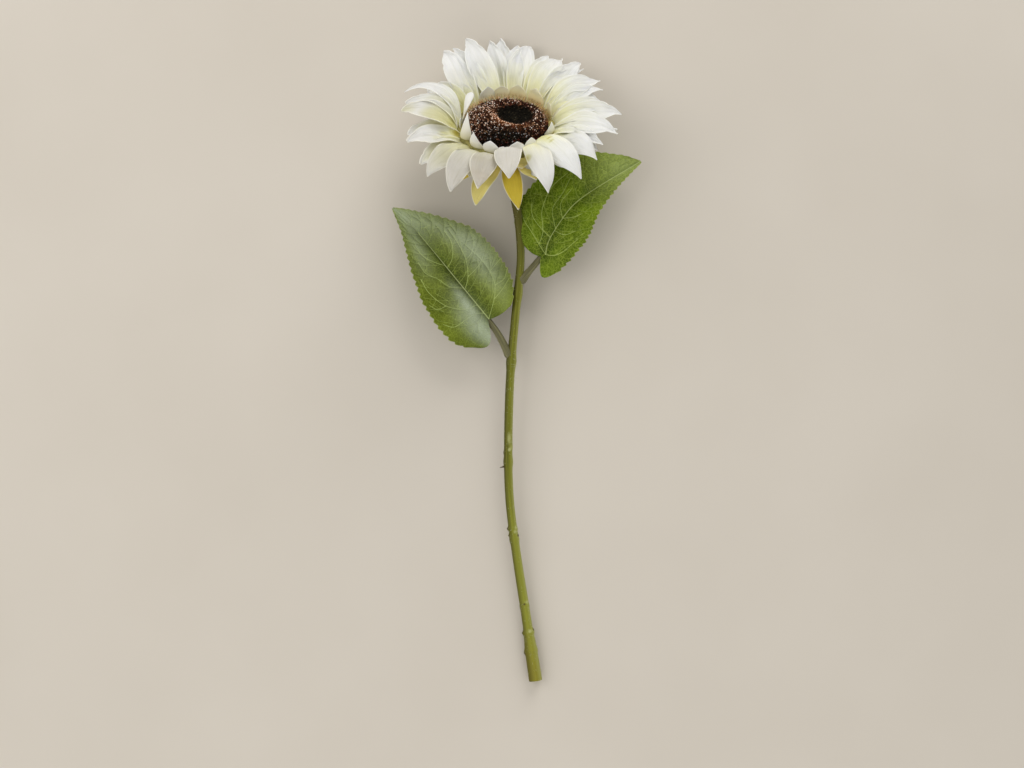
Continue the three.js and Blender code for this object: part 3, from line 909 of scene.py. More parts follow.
def make_florets():
    """The dark tubes in their spirals, and the pale grains that lie in their mouths."""
    rng = np.random.default_rng(3)
    tubes, grains, numbers, grain_numbers = [], [], [], []
    for k in range(FLORET_COUNT):
        radius = FLORET_FIELD * math.sqrt((k + 0.5) / FLORET_COUNT)
        angle = k * GOLDEN_ANGLE
        x, y = radius * math.cos(angle), radius * math.sin(angle)
        away = from_crater(x, y)
        outward = Vector((x, y, 0)).normalized() * 0.6 * (radius / FLORET_FIELD) ** 3
        normal = (disc_normal(x, y) + outward + Vector(rng.normal(0, 0.2, 3))).normalized()
        # Young florets fill the crater; the share reaches further up its back wall as painted shade there.
        young_and_shaded = math.exp(-((away - 0.12 * max(0.0, y / DISC_RADIUS * 2)) ** 8))
        bearing = math.atan2(y - CRATER["y"], x - CRATER["x"])
        towards = math.cos(bearing - math.radians(WARM["azimuth"]))
        warm = bell(away - WARM["at"], WARM["reach"]) * max(0.0, towards) ** 1.5
        tall = (1 - 0.5 * young_and_shaded) * rng.uniform(0.7, 1.3)
        tubes.append(upright(x, y, normal, rng.uniform(0.85, 1.1), rng.uniform(0, FULL_TURN), tall))
        numbers.append((rng.uniform(0, 1), young_and_shaded, warm, front_slope_shade(y)))
        # Grains lie thickest round the crater, and thinnest in it, at the front, right and back, where fewer
        # pale grains paint the shade.
        shaded = max(0.0, (0.85 * x - 0.5 * y) / DISC_RADIUS) + bell(y - 21, 7)
        share = GRAINS["on_dome"] + GRAINS["round_crater"] * warm + GRAINS["in_crater"] * young_and_shaded
        share = share * (1 - 0.3 * front_slope_shade(y)) * (1 - min(0.8, 0.75 * shaded))
        if rng.uniform() < share:
            size, spin = rng.uniform(0.6, 1.25), rng.uniform(0, FULL_TURN)
            mouth = FLORET["sink"] - FLORET["height"] * tall
            grains.append(upright(x, y, normal, size, spin, sink=mouth))
            grain_numbers.append(numbers[-1])
    names = ("tint", "young_and_shaded", "warm", "front")
    florets = scatter(floret_master(), tubes, dict(zip(names, zip(*numbers))), "disc_florets")
    bpy.ops.mesh.primitive_ico_sphere_add(subdivisions=1, radius=GRAINS["radius"] * MM)
    pollen = scatter(added("grain"), grains, dict(zip(names, zip(*grain_numbers))), "disc_grains")
    return florets, pollen


def make_bristles():
    """Thin stiff bristles, thick round the rim of the disc and loose over the rest of it."""
    rng = np.random.default_rng(8)
    spots, tints, rims = [], [], []
    for k in range(BRISTLES["count"]):
        at_rim = k % 4 != 0
        if at_rim:
            radius = rng.uniform(*BRISTLES["rim"])
        else:
            radius = FLORET_FIELD * math.sqrt(rng.uniform(0, 0.85))
        angle = rng.uniform(0, 2 * math.pi)
        x, y = radius * math.cos(angle), radius * math.sin(angle)
        back = float(np.clip((y + 4) / 18, 0, 1))
        if from_crater(x, y) < 0.95 or at_rim and rng.uniform() > 0.3 + 0.7 * back:
            continue
        outward = Vector((x, y, 0)).normalized() * (0.2 + 0.5 * back if at_rim else 0.1)
        normal = (disc_normal(x, y) + outward + Vector(rng.normal(0, 0.3, 3))).normalized()
        size = rng.uniform(0.7, 1.25) * (0.8 + 0.35 * back if at_rim else 0.85)
        spots.append(upright(x, y, normal, size, spin=0, sink=BRISTLES["sink"]))
        # Painted shade: bristles are darker towards the disc's right side.
        tints.append(rng.uniform(0, 1) * (1 - 0.4 * max(0.0, x / radius)))
        rims.append(back if at_rim else 0.0)
    master = hair_master(BRISTLES["length"], BRISTLES["radius"])
    return scatter(master, spots, {"tint": tints, "rim": rims}, "disc_bristles")


# Calyx: the green cup behind the petals, with two rows of pointed bracts.

BRACT_ROWS = [
    {"count": 12, "shift": 0, "radius": 24, "height": -11.6, "reach": 42, "tip": -18},
    {"count": 9, "shift": 0.5, "radius": 16, "height": -13.6, "reach": 32, "tip": -22},
]
BRACT_OUTLINE = (0.8, 0.5, 1.8)
BRACT_WIDTH = 9
BRACT_ARCH = 14


def make_calyx():
    low, top, rim = CALYX["bottom"], CALYX["top"], CALYX["rim"]
    rings = [(CALYX["neck"], low), (7, low + 2.6), (13, low + 5.6), (21, low + 8)]
    rings += [(rim - 2, low + 9.6), (rim, top - 0.8), (rim - 0.6, top), (2, top)]
    cup = ring_from(rings, "cup", sides=64)
    cup.data.transform(HEAD)
    folds = [(0, -0.5, 0.08), (-0.45, -0.35, 0.1), (0.45, -0.35, 0.1)]
    section = pleats(folds, (0.5, 2, 1), cup=0.3, crease=0.15)
    master = flat_petal("bract_master", SHORT_GRID, BRACT_OUTLINE, section)
    bracts = []
    for row in BRACT_ROWS:
        for k in range(row["count"]):
            azimuth = 360 / row["count"] * (k + row["shift"]) + jitter(3)
            tip = (row["reach"] + jitter(1.2), row["tip"] + jitter(1.2))
            root = (0, row["radius"], row["height"])
            shape = shape_of(azimuth, *tip, BRACT_ARCH, *root, BRACT_WIDTH, 0, jitter(0.8))
            bracts.append(grown(master, shape, THICK["bract"], 1))
    discard(master)
    return joined([cup, *bracts], "calyx_green")


# Stem. It is a rod of its own length along +X that is then bent along its route.

STEM_ROUTE = [(17.3, -218.2, 4.6), (10.5, -171.8, 7), (3.5, -126, 9.5), (-1.7, -84.9, 11.7)]
STEM_ROUTE += [(-2.7, -41, 14), (-1.2, 5.8, 16.5), (1.8, 43, 18.5), (5, 73.5, 20), (6.3, 93, 21)]
STEM_ROUTE += [(4.8, 117.7, 22.2), (1.8, 135, 24)]
STEM_RADII = [(0, 4.9), (0.06, 4.5), (0.1, 3.5), (0.2, 3.3), (0.35, 3.1), (0.6, 3.1), (0.8, 2.9)]
STEM_RADII += [(0.92, 3.1), (0.97, 3.7), (1, CALYX["neck"])]
# Leaf scars all round the stem: share of its length, how far they swell, half their length.
STEM_SCARS = [
    (0.057, 0.5, 2),
    (0.09, 0.6, 1.6),
    (0.14, 0.3, 1.5),
    (0.265, 0.5, 2.4),
    (0.285, 0.4, 1.6),
    (0.41, 0.5, 3.4),
    (0.595, 0.7, 5),
    (0.72, 0.6, 5),
]
# Knobs on them: height up the flower, degrees round from the top to the right, swell, reach, tone.
STEM_KNOBS = [
    (-40, 12, 0.25, 5.0, 0.7),
    (-48.3, 16, 0.5, 1.2, 1.0),
    (-46.5, 60, 0.5, 1.8, 0.6),
    (-50.5, -85, 0.5, 1.3, -0.6),
    (-105.8, -80, 1.0, 1.1, -0.8),
    (-110.9, -80, 0.9, 1.2, -0.8),
    (-105.5, 45, 0.5, 1.2, 1.0),
    (-108.5, 25, 0.4, 1.4, 0.8),
    (-111.5, 62, 0.7, 1.2, -0.8),
    (-160.5, 40, 0.6, 1.3, 1.0),
    (-161.5, 5, 0.3, 1.0, -0.8),
    (-181.5, 20, 0.5, 1.3, 1.0),
    (-181.0, 70, 0.9, 1.3, -0.7),
    (-182.5, -85, 0.6, 1.2, -0.7),
    (-197.4, -80, 0.8, 1.4, -0.8),
]
STUB = {"at": 0.404, "length": 2.8, "radius": 1.1}
# A stalk thins towards the leaf. It swells by a share of its size where it comes out of the stem, and it
# runs a little way under the midrib.
STALK = {"thick": 3.1, "thin": 0.8, "swell": 0.2, "swell_at": 4, "reach": 4, "under": 2.5}
STEM_GRID = (520, 32)
STALK_GRID = (120, 16)
HAIRS = {"count": 600, "length": 1.9, "radius": 0.1}
# The first hairs are long ones, between these heights up the flower.
LONG_HAIRS = {"count": 26, "heights": (-3, 24), "times": 2.6}
# How far the cut end's rim is set in, how deep its pith is sunk, and how wide the pith's own rim is.
CUT_END = {"rim": 0.9, "sunk": 0.5, "pith": 1.2}


def standing(*points):
    """Points of the flower in millimetres, as places in metres."""
    return [np.array(Vector(p) * MM + AXIS) for p in points]


def on_head(x, y, z):
    return np.array(HEAD @ (Vector((x, y, z)) * MM))


stem_line, stem_length = smooth_line(
    [
        *standing(*STEM_ROUTE),
        on_head(0, -3.2, CALYX["bottom"] - 17),
        on_head(0, 0, CALYX["bottom"] - 6),
        on_head(0, 0, CALYX["bottom"] - 0.3),
    ]
)


def stem_point(share):
    return Vector(sampled(stem_line, share))


def stem_share(height):
    """The share of the stem's length at a height up the flower in millimetres."""
    return np.interp(height * MM + AXIS.y, stem_line[:, 1], np.linspace(0, 1, len(stem_line)))


def stem_knobs(t, angle):
    """How far the knobs swell the stem, and their tone, at shares and angles."""
    swell, tone = np.zeros_like(t), np.zeros_like(t)
    for height, degrees, size, reach, shade in STEM_KNOBS:
        away = (t - stem_share(height)) * stem_length / MM / reach
        aside = (angle - math.radians(degrees) + np.pi) % (2 * np.pi) - np.pi
        bump = np.exp(-(away**2) - (aside * 3.3 / min(reach, 1.8)) ** 2)
        swell = swell + size * bump
        tone = tone + shade * bump
    return swell, tone


def stem_radius(t, angle=None):
    radius = read_along(STEM_RADII, t)
    for at, swell, reach in STEM_SCARS:
        radius = radius + swell * bell((t - at) * stem_length / MM, reach)
    if angle is not None:
        ribs = 0.05 * np.sin(9 * angle + 6 * t) + 0.04 * np.sin(5 * angle + 40 * t)
        radius = radius + ribs + stem_knobs(t, angle)[0]
    return radius


def rod(name, rows, sides, length, radius):
    """A closed round rod along +X: a grid rolled up, its seam merged and its ends filled.

    radius takes the share of the length and the angle from the top to the right, in millimetres.
    """
    piece = square_grid(name, rows, sides)

    def roll_up(x, y, z):
        t, angle = (x + 1) / 2, np.pi * y
        r = radius(t, angle) * MM
        return t * length, -r * np.sin(angle), r * np.cos(angle)

    mark(piece, "along", (places(piece)[:, 0] + 1) / 2)
    # Which side each point faces, +1 right and -1 left; the stem's finish paints shade and light by it.
    mark(piece, "round", np.sin(np.pi * places(piece)[:, 1]))
    sculpt(piece, roll_up)
    open_whole(piece)
    bpy.ops.mesh.remove_doubles(threshold=1e-6)
    bpy.ops.mesh.fill_holes(sides=0)
    close_outward(piece)
    return piece


def make_stem():
    stem = rod("stem_green", *STEM_GRID, stem_length, stem_radius)
    co = places(stem)
    knob_tone = stem_knobs(co[:, 0] / stem_length, np.arctan2(-co[:, 1], co[:, 2]))[1]
    mark(stem, "knob", knob_tone)
    # The cut end: a rim with the pith sunk in it.
    pick(stem, lambda co: co.x < 1e-6)
    bpy.ops.mesh.inset(thickness=CUT_END["rim"] * MM)
    bpy.ops.transform.translate(value=(CUT_END["sunk"] * MM, 0, 0))
    bpy.ops.mesh.inset(thickness=CUT_END["pith"] * MM)
    only(stem)
    follow(stem, spine_of(stem_line))
    root = stem_point(STUB["at"])
    reach = (float(stem_radius(STUB["at"])) + STUB["length"]) * MM
    aim = Vector((-reach, -1.5 * MM, 1.5 * MM))
    bpy.ops.mesh.primitive_cone_add(
        vertices=10, radius1=STUB["radius"] * 1.3 * MM, radius2=0.15 * MM, depth=aim.length
    )
    stub = bpy.context.object
    stub.rotation_euler = aim.to_track_quat("Z", "Y").to_euler()
    stub.location = root + aim / 2
    stub = added("stub")
    # The stub is marked as facing left, so it takes the painted shade.
    for key, value in {"along": STUB["at"], "knob": -0.8, "round": -0.5}.items():
        mark(stub, key, value)
    return joined([stem, stub], "stem_green")


def stem_hairs():
    """Short stiff hairs on the stem, thicker near the knobs, and a few long ones."""
    rng = np.random.default_rng(21)
    spots = []
    knobs = [stem_share(row[0]) for row in STEM_KNOBS]
    for k in range(HAIRS["count"]):
        near, long = k % 4 == 0, k < LONG_HAIRS["count"]
        t = rng.choice(knobs) + rng.normal(0, 0.006) if near else rng.uniform(0.01, 0.97)
        t = float(np.clip(t, 0.005, 0.97))
        angle = rng.uniform(-2.2, 2.2)
        if long:
            t, angle = float(stem_share(rng.uniform(*LONG_HAIRS["heights"]))), rng.uniform(0.1, 1.5)
        centre = stem_point(t)
        along = (stem_point(min(1, t + 0.004)) - stem_point(t - 0.004)).normalized()
        side = along.cross(Vector((0, 0, 1))).normalized()
        above = side.cross(along)
        out = above * math.cos(angle) + side * math.sin(angle)
        aim = (out + along * rng.uniform(-0.5, 0.2) + Vector(rng.normal(0, 0.15, 3))).normalized()
        base = centre + out * float(stem_radius(np.array(t), np.array(angle)) - 0.15) * MM
        size = rng.uniform(0.6, 1.3) * (LONG_HAIRS["times"] if long else 1)
        spots.append(Matrix.Translation(base) @ aimed(aim) @ Matrix.Diagonal((1, 1, size, 1)))
    return scatter(hair_master(HAIRS["length"], HAIRS["radius"]), spots, {}, "stem_hairs")


# Leaves. A stalk holds where it leaves the stem and its knee. A side holds half widths at shares of the
# midrib, how far back its edge lies at the base, and how far its lobe bulges back beside the stalk. The
# fold lifts both sides and the curl bends them down again. The roll turns the leaf about its midrib, at
# its base and its tip. The crease is how dark the painted shadow in the hollow along the midrib is, and
# sunny how much painted light the green gets, from the shaded green at 0 to the lit one at 1. A bloom is
# a grey patch of painted sheen: its place and reach along, its place and spread across, and its depth.
# Veins are drawn as seen from above, the midrib first.

LEAVES = {
    "leaf_left": {
        "stalk": (0.6, (-10.2, 36.5, 19.5)),
        "midrib": [(-17.4, 46.5, 22.5), (-33, 65.5, 26), (-52, 90, 27.5), (-70, 112, 23), (-87, 128.4, 15)],
        "right": {
            "at": (0, 0.04, 0.11, 0.2, 0.35, 0.45, 0.56, 0.65, 0.75, 0.85, 0.93, 1),
            "half": (20, 25, 31, 34, 35, 34, 31, 24.5, 17, 9.5, 5, 0.7),
            "edge_back": 2,
            "lobe_back": 2,
        },
        "left": {
            "at": (0, 0.05, 0.1, 0.2, 0.38, 0.55, 0.7, 0.85, 1),
            "half": (21, 27, 29.8, 30.6, 28, 21.5, 14.5, 7, 0.7),
            "edge_back": 8,
            "lobe_back": 12,
        },
        "fold": 0.3,
        "curl": 0.009,
        "roll": (-2, 4),
        "crease": 0.7,
        # Patches of painted sheen.
        "bloom": [
            (0.44, 0.3, 0.7, 0.3, 0.85),
            (0.0, 0.22, -0.32, 0.26, 1.2),
            (0.22, 0.12, -0.15, 0.12, 0.7),
            (0.62, 0.14, -0.5, 0.3, 0.4),
            (0.92, 0.2, 0.1, 0.9, 0.9),
        ],
        "sunny": 0.25,
        "veins": [
            [(-16.8, 47.4), (-68.2, 109.9)],
            [(-16.8, 47.4), (-12.9, 62.6), (-12.6, 72.6), (-16.2, 81.5), (-23.3, 91), (-34, 101)],
            [(-12.6, 62), (-7.5, 68.3), (-2, 77)],
            [(-12.2, 71.9), (-6.1, 76), (-3.5, 84)],
            [(-16.2, 81.5), (-8.3, 91.3)],
            [(-34, 68.5), (-31.9, 77.7), (-33.4, 89.8), (-39.2, 102), (-46, 112)],
            [(-31.9, 77.7), (-24, 86.1), (-21, 93)],
            [(-33.4, 89.8), (-29, 95.6), (-28, 103)],
            [(-47, 84), (-43.4, 90.6), (-43.7, 102), (-49, 111)],
            [(-20.5, 51.5), (-28.4, 50.1), (-42, 41.3), (-49.9, 43.2)],
            [(-25, 57.5), (-34.1, 54.2), (-47.7, 56.5), (-60.6, 66.5), (-66, 76)],
            [(-47.7, 56.5), (-54, 54), (-60, 57)],
            [(-35, 69.5), (-44.9, 70.4), (-54.2, 76.2), (-62.5, 80), (-68, 88)],
            [(-48, 85.5), (-56.9, 88.4), (-64.8, 92.8), (-70, 100)],
        ],
    },
    "leaf_right": {
        "stalk": (0.739, (13.0, 82.6, 21.8)),
        "midrib": [
            (20.9, 92.5, 24),
            (28.3, 106.5, 27),
            (37, 120, 28),
            (48, 132, 28),
            (69, 147.5, 26),
            (94, 162, 20),
        ],
        "right": {
            "at": (0, 0.06, 0.13, 0.27, 0.37, 0.46, 0.55, 0.65, 0.77, 0.9, 1),
            "half": (15.5, 18, 20.5, 23, 22, 18.8, 15, 11.5, 7.5, 3.5, 0.7),
            "edge_back": 5,
            "lobe_back": 11,
        },
        "left": {
            "at": (0, 0.04, 0.1, 0.16, 0.27, 0.5, 0.6, 0.7, 0.78, 0.86, 0.93, 1),
            "half": (12.8, 20, 27, 30.5, 33.5, 33, 31, 27, 21, 14, 8.5, 0.7),
            "edge_back": -1,
            "lobe_back": 1,
        },
        "fold": 0.22,
        "curl": 0.008,
        "roll": (10, 16),
        "crease": 0.05,
        "bloom": [(0.9, 0.2, 0, 1, 0.2)],
        "sunny": 1.0,
        "veins": [
            [(24.5, 94), (26.1, 102.4), (36.8, 120.2), (46.8, 131.9), (94.2, 162.6)],
            [(24.5, 94), (19.6, 101.4), (13.8, 111.1), (9.3, 118.2), (6, 128)],
            [(24.5, 94), (30, 93), (35.8, 95), (41.6, 99.5), (47.5, 104.7)],
            [(19.6, 101.4), (22.3, 109.8), (21.6, 124.7), (24.2, 133.9), (30, 144.2), (40.4, 153.3)],
            [(27.7, 106.6), (20.9, 113.1), (15, 122), (14, 131)],
            [(31.5, 112.5), (29.4, 126.7), (37.1, 139), (42.4, 149.4)],
            [(36.5, 120.2), (35.3, 130.7), (43, 141)],
            [(36.8, 120.2), (43.6, 120.5), (50.8, 123.2)],
            [(31, 111), (38, 108), (46, 110.5)],
        ],
    },
}
TEETH = 24
TOOTH_DEPTH = 1.7
TOOTH_LEAN = 0.72
LEAF_GRID = (290, 150)
SIDE_VEINS = 11


def unit(vectors):
    return vectors / np.linalg.norm(vectors, axis=-1, keepdims=True)


def leaf_surface(leaf, u, w):
    """Places on a leaf in millimetres: u from base to tip, w from its left edge to its right."""
    line = smooth_line(leaf["midrib"])[0]
    centre = sampled(line, u)
    along = unit(sampled(np.gradient(line, axis=0), u))
    level = unit(np.cross(along, (0, 0, 1)))
    above = np.cross(level, along)
    roll = np.radians(np.interp(u, (0, 1), leaf["roll"]))[:, None]
    across = level * np.cos(roll) + above * np.sin(roll)
    out = above * np.cos(roll) - level * np.sin(roll)
    step = (u * TEETH) % 1
    saw = np.minimum(step / TOOTH_LEAN, (1 - step) / (1 - TOOTH_LEAN)) ** 0.8
    tooth = TOOTH_DEPTH * np.abs(w) ** 8 * (1 - u**6) * saw
    halves, backs = [], []
    for side in (leaf["right"], leaf["left"]):
        halves.append(np.interp(u, side["at"], side["half"]))
        backs.append(side["edge_back"] * w * w + side["lobe_back"] * np.sin(np.pi * np.abs(w)))
    half = np.where(w > 0, *halves) + tooth
    back = np.where(w > 0, *backs) * (1 - u) ** 4
    reach = np.abs(w) * half
    lift = leaf["fold"] * reach - leaf["curl"] * reach**2
    return centre + across * (w * half)[:, None] - along * back[:, None] + out * lift[:, None]


def gap_to(line, x, y):
    """The distance of places x, y from a drawn line."""
    gap = np.full_like(x, 1e3)
    for (x0, y0), (x1, y1) in zip(line, line[1:]):
        dx, dy = x1 - x0, y1 - y0
        t = np.clip(((x - x0) * dx + (y - y0) * dy) / (dx * dx + dy * dy), 0, 1)
        gap = np.minimum(gap, np.hypot(x - x0 - dx * t, y - y0 - dy * t))
    return gap


def side_veins(leaf, side):
    """Side veins that leave the midrib and run out and forward, each with a few short branches."""
    veins = []
    for k, start in enumerate(np.linspace(0.06, 0.9, SIDE_VEINS)):
        out = np.linspace(0, 0.94, 9)
        u = np.minimum(0.99, start + (0.2 - 0.1 * start) * out**1.3)
        vein = leaf_surface(leaf, u, side * out)[:, :2]
        veins.append(vein)
        for step, share in enumerate((2, 4, 6)):
            twist = 0.05 if (step + k) % 2 else -0.035
            w = out[share] + np.array([0, 0.08, 0.16])
            branch = u[share] + np.array([0, 0.6, 1.2]) * twist + 0.12 * (w - out[share])
            veins.append(leaf_surface(leaf, np.clip(branch, 0, 0.99), side * w)[:, :2])
    return veins


def make_leaf(name, leaf):
    """A blade: a fine grid laid on the leaf's surface, with sunk veins, puckers between and a frill."""
    blade = square_grid(f"{name}_blade", *LEAF_GRID)
    u, w = (places(blade)[:, 0] + 1) / 2, places(blade)[:, 1]
    flat = leaf_surface(leaf, u, w)

    def nearest(lines):
        return np.min([gap_to(line, flat[:, 0], flat[:, 1]) for line in lines], axis=0)

    drawn = [smooth_line([(*p, 0) for p in line], steps=8)[0][:, :2] for line in leaf["veins"]]
    midrib = gap_to(drawn[0], flat[:, 0], flat[:, 1])
    main = nearest(drawn[1:])
    small = nearest([*side_veins(leaf, 1), *side_veins(leaf, -1)])
    veins = np.minimum(np.minimum(midrib * 0.6, main), small * 1.5)
    rng = np.random.default_rng(11)
    pucker = np.zeros_like(u)
    for along, across, phase in rng.uniform((4, 2, 0), (9, 5, 6), (5, 3)):
        pucker = pucker + 0.2 * np.sin(np.pi * (along * u + across * w) + phase)
    relief = pucker * np.minimum(1, veins / 4) - 0.35 * bell(veins, 0.7)
    relief = relief - 0.5 * bell(midrib, 1.6) + 0.5 * np.minimum(1, veins / 3)
    frill = np.abs(w) ** 6 * 0.8 * np.sin(2 * np.pi * 6 * u + 1.5 * np.sign(w)) * (1 - u)

    def settle_on_leaf(x, y, z):
        place = flat + np.column_stack([0 * u, 0 * u, relief + frill - 0.2])
        return tuple(place[:, k] * MM + AXIS[k] for k in range(3))

    sculpt(blade, settle_on_leaf)
    numbers = {
        "main": main,
        "small": small,
        "midrib": midrib,
        "edge": np.abs(w),
        "crease": leaf["crease"] * bell(u - 0.38, 0.26, 4),
        "sunny": leaf["sunny"],
        "tip": leaf["sunny"] * np.clip((u - 0.5) / 0.35, 0, 1),
        # Bloom: where grey-green painted sheen lies.
        "bloom": sum(
            depth * bell(u - at, reach) * bell(w - side, spread)
            for at, reach, side, spread, depth in leaf["bloom"]
        ),
    }
    for key, value in numbers.items():
        mark(blade, key, value)
    modify(blade, "SOLIDIFY", thickness=THICK["blade"] * MM, offset=0)
    return blade


def make_stalk(name, leaf):
    """A stalk from inside the stem over its knee and on under the first half of the midrib."""
    share, knee = leaf["stalk"]
    rib = leaf["midrib"][: math.ceil(len(leaf["midrib"]) / 2) + 1]
    under = [(x, y, z - STALK["under"]) for x, y, z in rib]
    line, length = smooth_line([np.array(stem_point(share)), *standing(knee, *under)])

    def radius(t, angle):
        body = STALK["thick"] + (STALK["thin"] - STALK["thick"]) * t**0.8
        groove = 1 - 0.22 * bell(angle, 0.5)
        out = t * length / MM
        swell = 1 + STALK["swell"] * bell(out - STALK["swell_at"], STALK["reach"])
        # Inside the stem the rod starts at half its size.
        start = np.minimum(1, 0.5 + out / 8)
        return body * groove * (swell * start)

    stalk = rod(f"{name}_stalk", *STALK_GRID, length, radius)
    follow(stalk, spine_of(line))
    return stalk


# Materials. Each is built from nodes on a Principled shader.


def opaque(colour):
    """Three numbers as a solid colour. A socket stays as it is."""
    return (*colour, 1) if isinstance(colour, tuple) else colour


class Finish:
    """A material and short ways to add nodes to it."""

    def __init__(self, name, **constants):
        self.material = bpy.data.materials.new(name)
        self.material.use_nodes = True
        self.tree = self.material.node_tree
        self.shader = self.tree.nodes["Principled BSDF"]
        for socket, value in constants.items():
            self.shader.inputs[socket.replace("_", " ")].default_value = value

    def node(self, kind, inputs=None, output=0, **settings):
        node = self.tree.nodes.new("ShaderNode" + kind)
        for key, value in settings.items():
            setattr(node, key, value)
        for socket, value in (inputs or {}).items():
            if isinstance(value, bpy.types.NodeSocket):
                self.tree.links.new(value, node.inputs[socket])
            else:
                node.inputs[socket].default_value = value
        return node.outputs[output]

    def here(self):
        return self.node("TexCoord", output="Object")

    def flat(self):
        return self.node("UVMap", uv_map="UVMap")

    def attribute(self, name):
        return self.node("Attribute", output="Fac", attribute_name=name)

    def math(self, operation, a, b=0.0):
        return self.node("Math", {0: a, 1: b}, operation=operation)

    def times(self, a, b):
        return self.math("MULTIPLY", a, b)

    def span(self, value, low, high, to_low=0.0, to_high=1.0):
        """Goes softly from one number at low to another at high, and stays level outside them."""
        inputs = {"Value": value, 1: low, 2: high, 3: to_low, 4: to_high}
        return self.node("MapRange", inputs, interpolation_type="SMOOTHSTEP")

    def ramp(self, value, *stops):
        """Colours at places from 0 to 1."""
        out = self.node("ValToRGB", {0: value})
        band = out.node.color_ramp
        while len(band.elements) < len(stops):
            band.elements.new(0.5)
        for element, (place, colour) in zip(band.elements, stops):
            element.position = place
            element.color = opaque(colour)
        return out

    def mix(self, share, a, b, blend="MIX"):
        inputs = {0: share, 6: opaque(a), 7: opaque(b)}
        return self.node("Mix", inputs, output=2, data_type="RGBA", blend_type=blend)

    def layers(self, colour, *coats):
        """Lays coats over a colour in turn: how thick each is, its colour and maybe how it blends."""
        for share, coat, *blend in coats:
            colour = self.mix(share, colour, coat, *blend)
        return colour

    def noise(self, where, scale, detail=2.0, rough=0.5, size=(1, 1, 1), output=0):
        placed = self.node("Mapping", {"Vector": where, "Scale": size})
        inputs = {"Vector": placed, "Scale": scale, "Detail": detail, "Roughness": rough}
        return self.node("TexNoise", inputs, output=output)

    def colour(self, socket):
        self.tree.links.new(socket, self.shader.inputs["Base Color"])

    def relief(self, height, strength, distance):
        """A fine relief that only the light shows, distance in metres."""
        inputs = {"Height": height, "Strength": strength, "Distance": distance}
        self.tree.links.new(self.node("Bump", inputs), self.shader.inputs["Normal"])


def dress(piece, finish):
    piece.data.materials.clear()
    piece.data.materials.append(finish.material)


def petal_finish():
    """Cream petals: olive-yellow at the root, white past the middle, with fine lines along them. Golden
    petals are partly painted light and shade; the front petals and the patches get painted shade, the rims a
    painted highlight.
    """
    f = Finish(
        "cream_petal",
        Roughness=0.5,
        Specular_IOR_Level=0.35,
        Subsurface_Weight=0.6,
        Subsurface_Radius=(1.0, 0.97, 0.85),
        Subsurface_Scale=0.003,
    )
    flat = f.flat()
    along = f.node("SeparateXYZ", {0: flat}, output=0)
    shade, tone = f.attribute("shade"), f.attribute("tone")
    drift = f.node("VectorMath", {0: flat, 1: f.node("CombineXYZ", {0: shade, 1: shade, 2: 0.0})})
    veins = f.noise(drift, 1.0, 3, 0.6, (2.2, 46, 1))
    streaks = f.noise(drift, 1.0, 2, 0.5, (1.2, 13, 1))
    broad = f.noise(drift, 1.0, 2, 0.5, (1.5, 5, 1))
    reach = f.math("ADD", along, f.times(f.math("SUBTRACT", broad, 0.5), 0.3))
    cream = f.ramp(
        f.math("SUBTRACT", reach, f.times(tone, 0.4)),
        (0.0, (0.87, 0.84, 0.46)),
        (0.12, (0.93, 0.91, 0.54)),
        (0.28, (0.925, 0.92, 0.69)),
        (0.48, (0.9, 0.905, 0.82)),
        (0.7, (0.9, 0.91, 0.895)),
        (1.0, (0.9, 0.91, 0.9)),
    )
    # Gold: partly the petals' own yellow, partly painted light shining through them. The deeper gold adds
    # painted shade for petals that lie in shade.
    light_gold = f.ramp(along, (0.0, (0.6, 0.44, 0.07)), (0.5, (0.8, 0.65, 0.18)), (1.0, (0.78, 0.64, 0.2)))
    shaded_gold = f.ramp(
        along,
        (0.0, (0.36, 0.25, 0.01)),
        (0.5, (0.54, 0.39, 0.018)),
        (1.0, (0.6, 0.45, 0.036)),
    )
    gold = f.mix(f.span(tone, 0.95, 1.05), light_gold, shaded_gold)
    # Painted shade on the petals turned from the light: a grey-brown laid over their middle and outer part.
    front_shade_along = f.times(f.span(along, 0.3, 0.5, 0.75, 1.0), f.span(along, 0.6, 1.0, 1.0, 0.55))
    painted_front_shade, painted_shade_patch = f.attribute("painted_front_shade"), f.attribute("painted_shade_patch")
    front_shade_tint = f.mix(f.span(along, 0.6, 1.0), (0.52, 0.485, 0.44), (0.52, 0.43, 0.34))
    # Painted highlight: a pale line along each petal's sides and tip where its rim catches the light,
    # yellower on petals with painted shade.
    side = f.span(f.math("ABSOLUTE", f.attribute("side")), 0.88, 1.0)
    highlit_border = f.math("MAXIMUM", side, f.span(along, 0.96, 1.0))
    rim = f.mix(f.span(painted_front_shade, 0.0, 0.3), (0.94, 0.94, 0.88), (0.95, 0.91, 0.74))
    colour = f.layers(
        cream,
        (f.span(tone, 0.6, 0.9), gold),
        (f.times(front_shade_along, painted_front_shade), front_shade_tint, "MULTIPLY"),
        # Painted shade from the patches: olive, and golden where deeper.
        (f.span(painted_shade_patch, 0.0, 1.0), (0.8, 0.78, 0.53), "MULTIPLY"),
        (f.span(painted_shade_patch, 1.0, 2.0), (0.66, 0.58, 0.22), "MULTIPLY"),
        (f.span(veins, 0.35, 0.7, 0.0, 0.3), (0.8, 0.78, 0.62), "MULTIPLY"),
        (f.span(streaks, 0.5, 0.75, 0.0, 0.45), (0.84, 0.845, 0.74), "MULTIPLY"),
        (f.times(highlit_border, 0.6), rim),
    )
    f.colour(colour)
    f.relief(f.math("ADD", veins, streaks), 0.6, 0.0009)
    return f


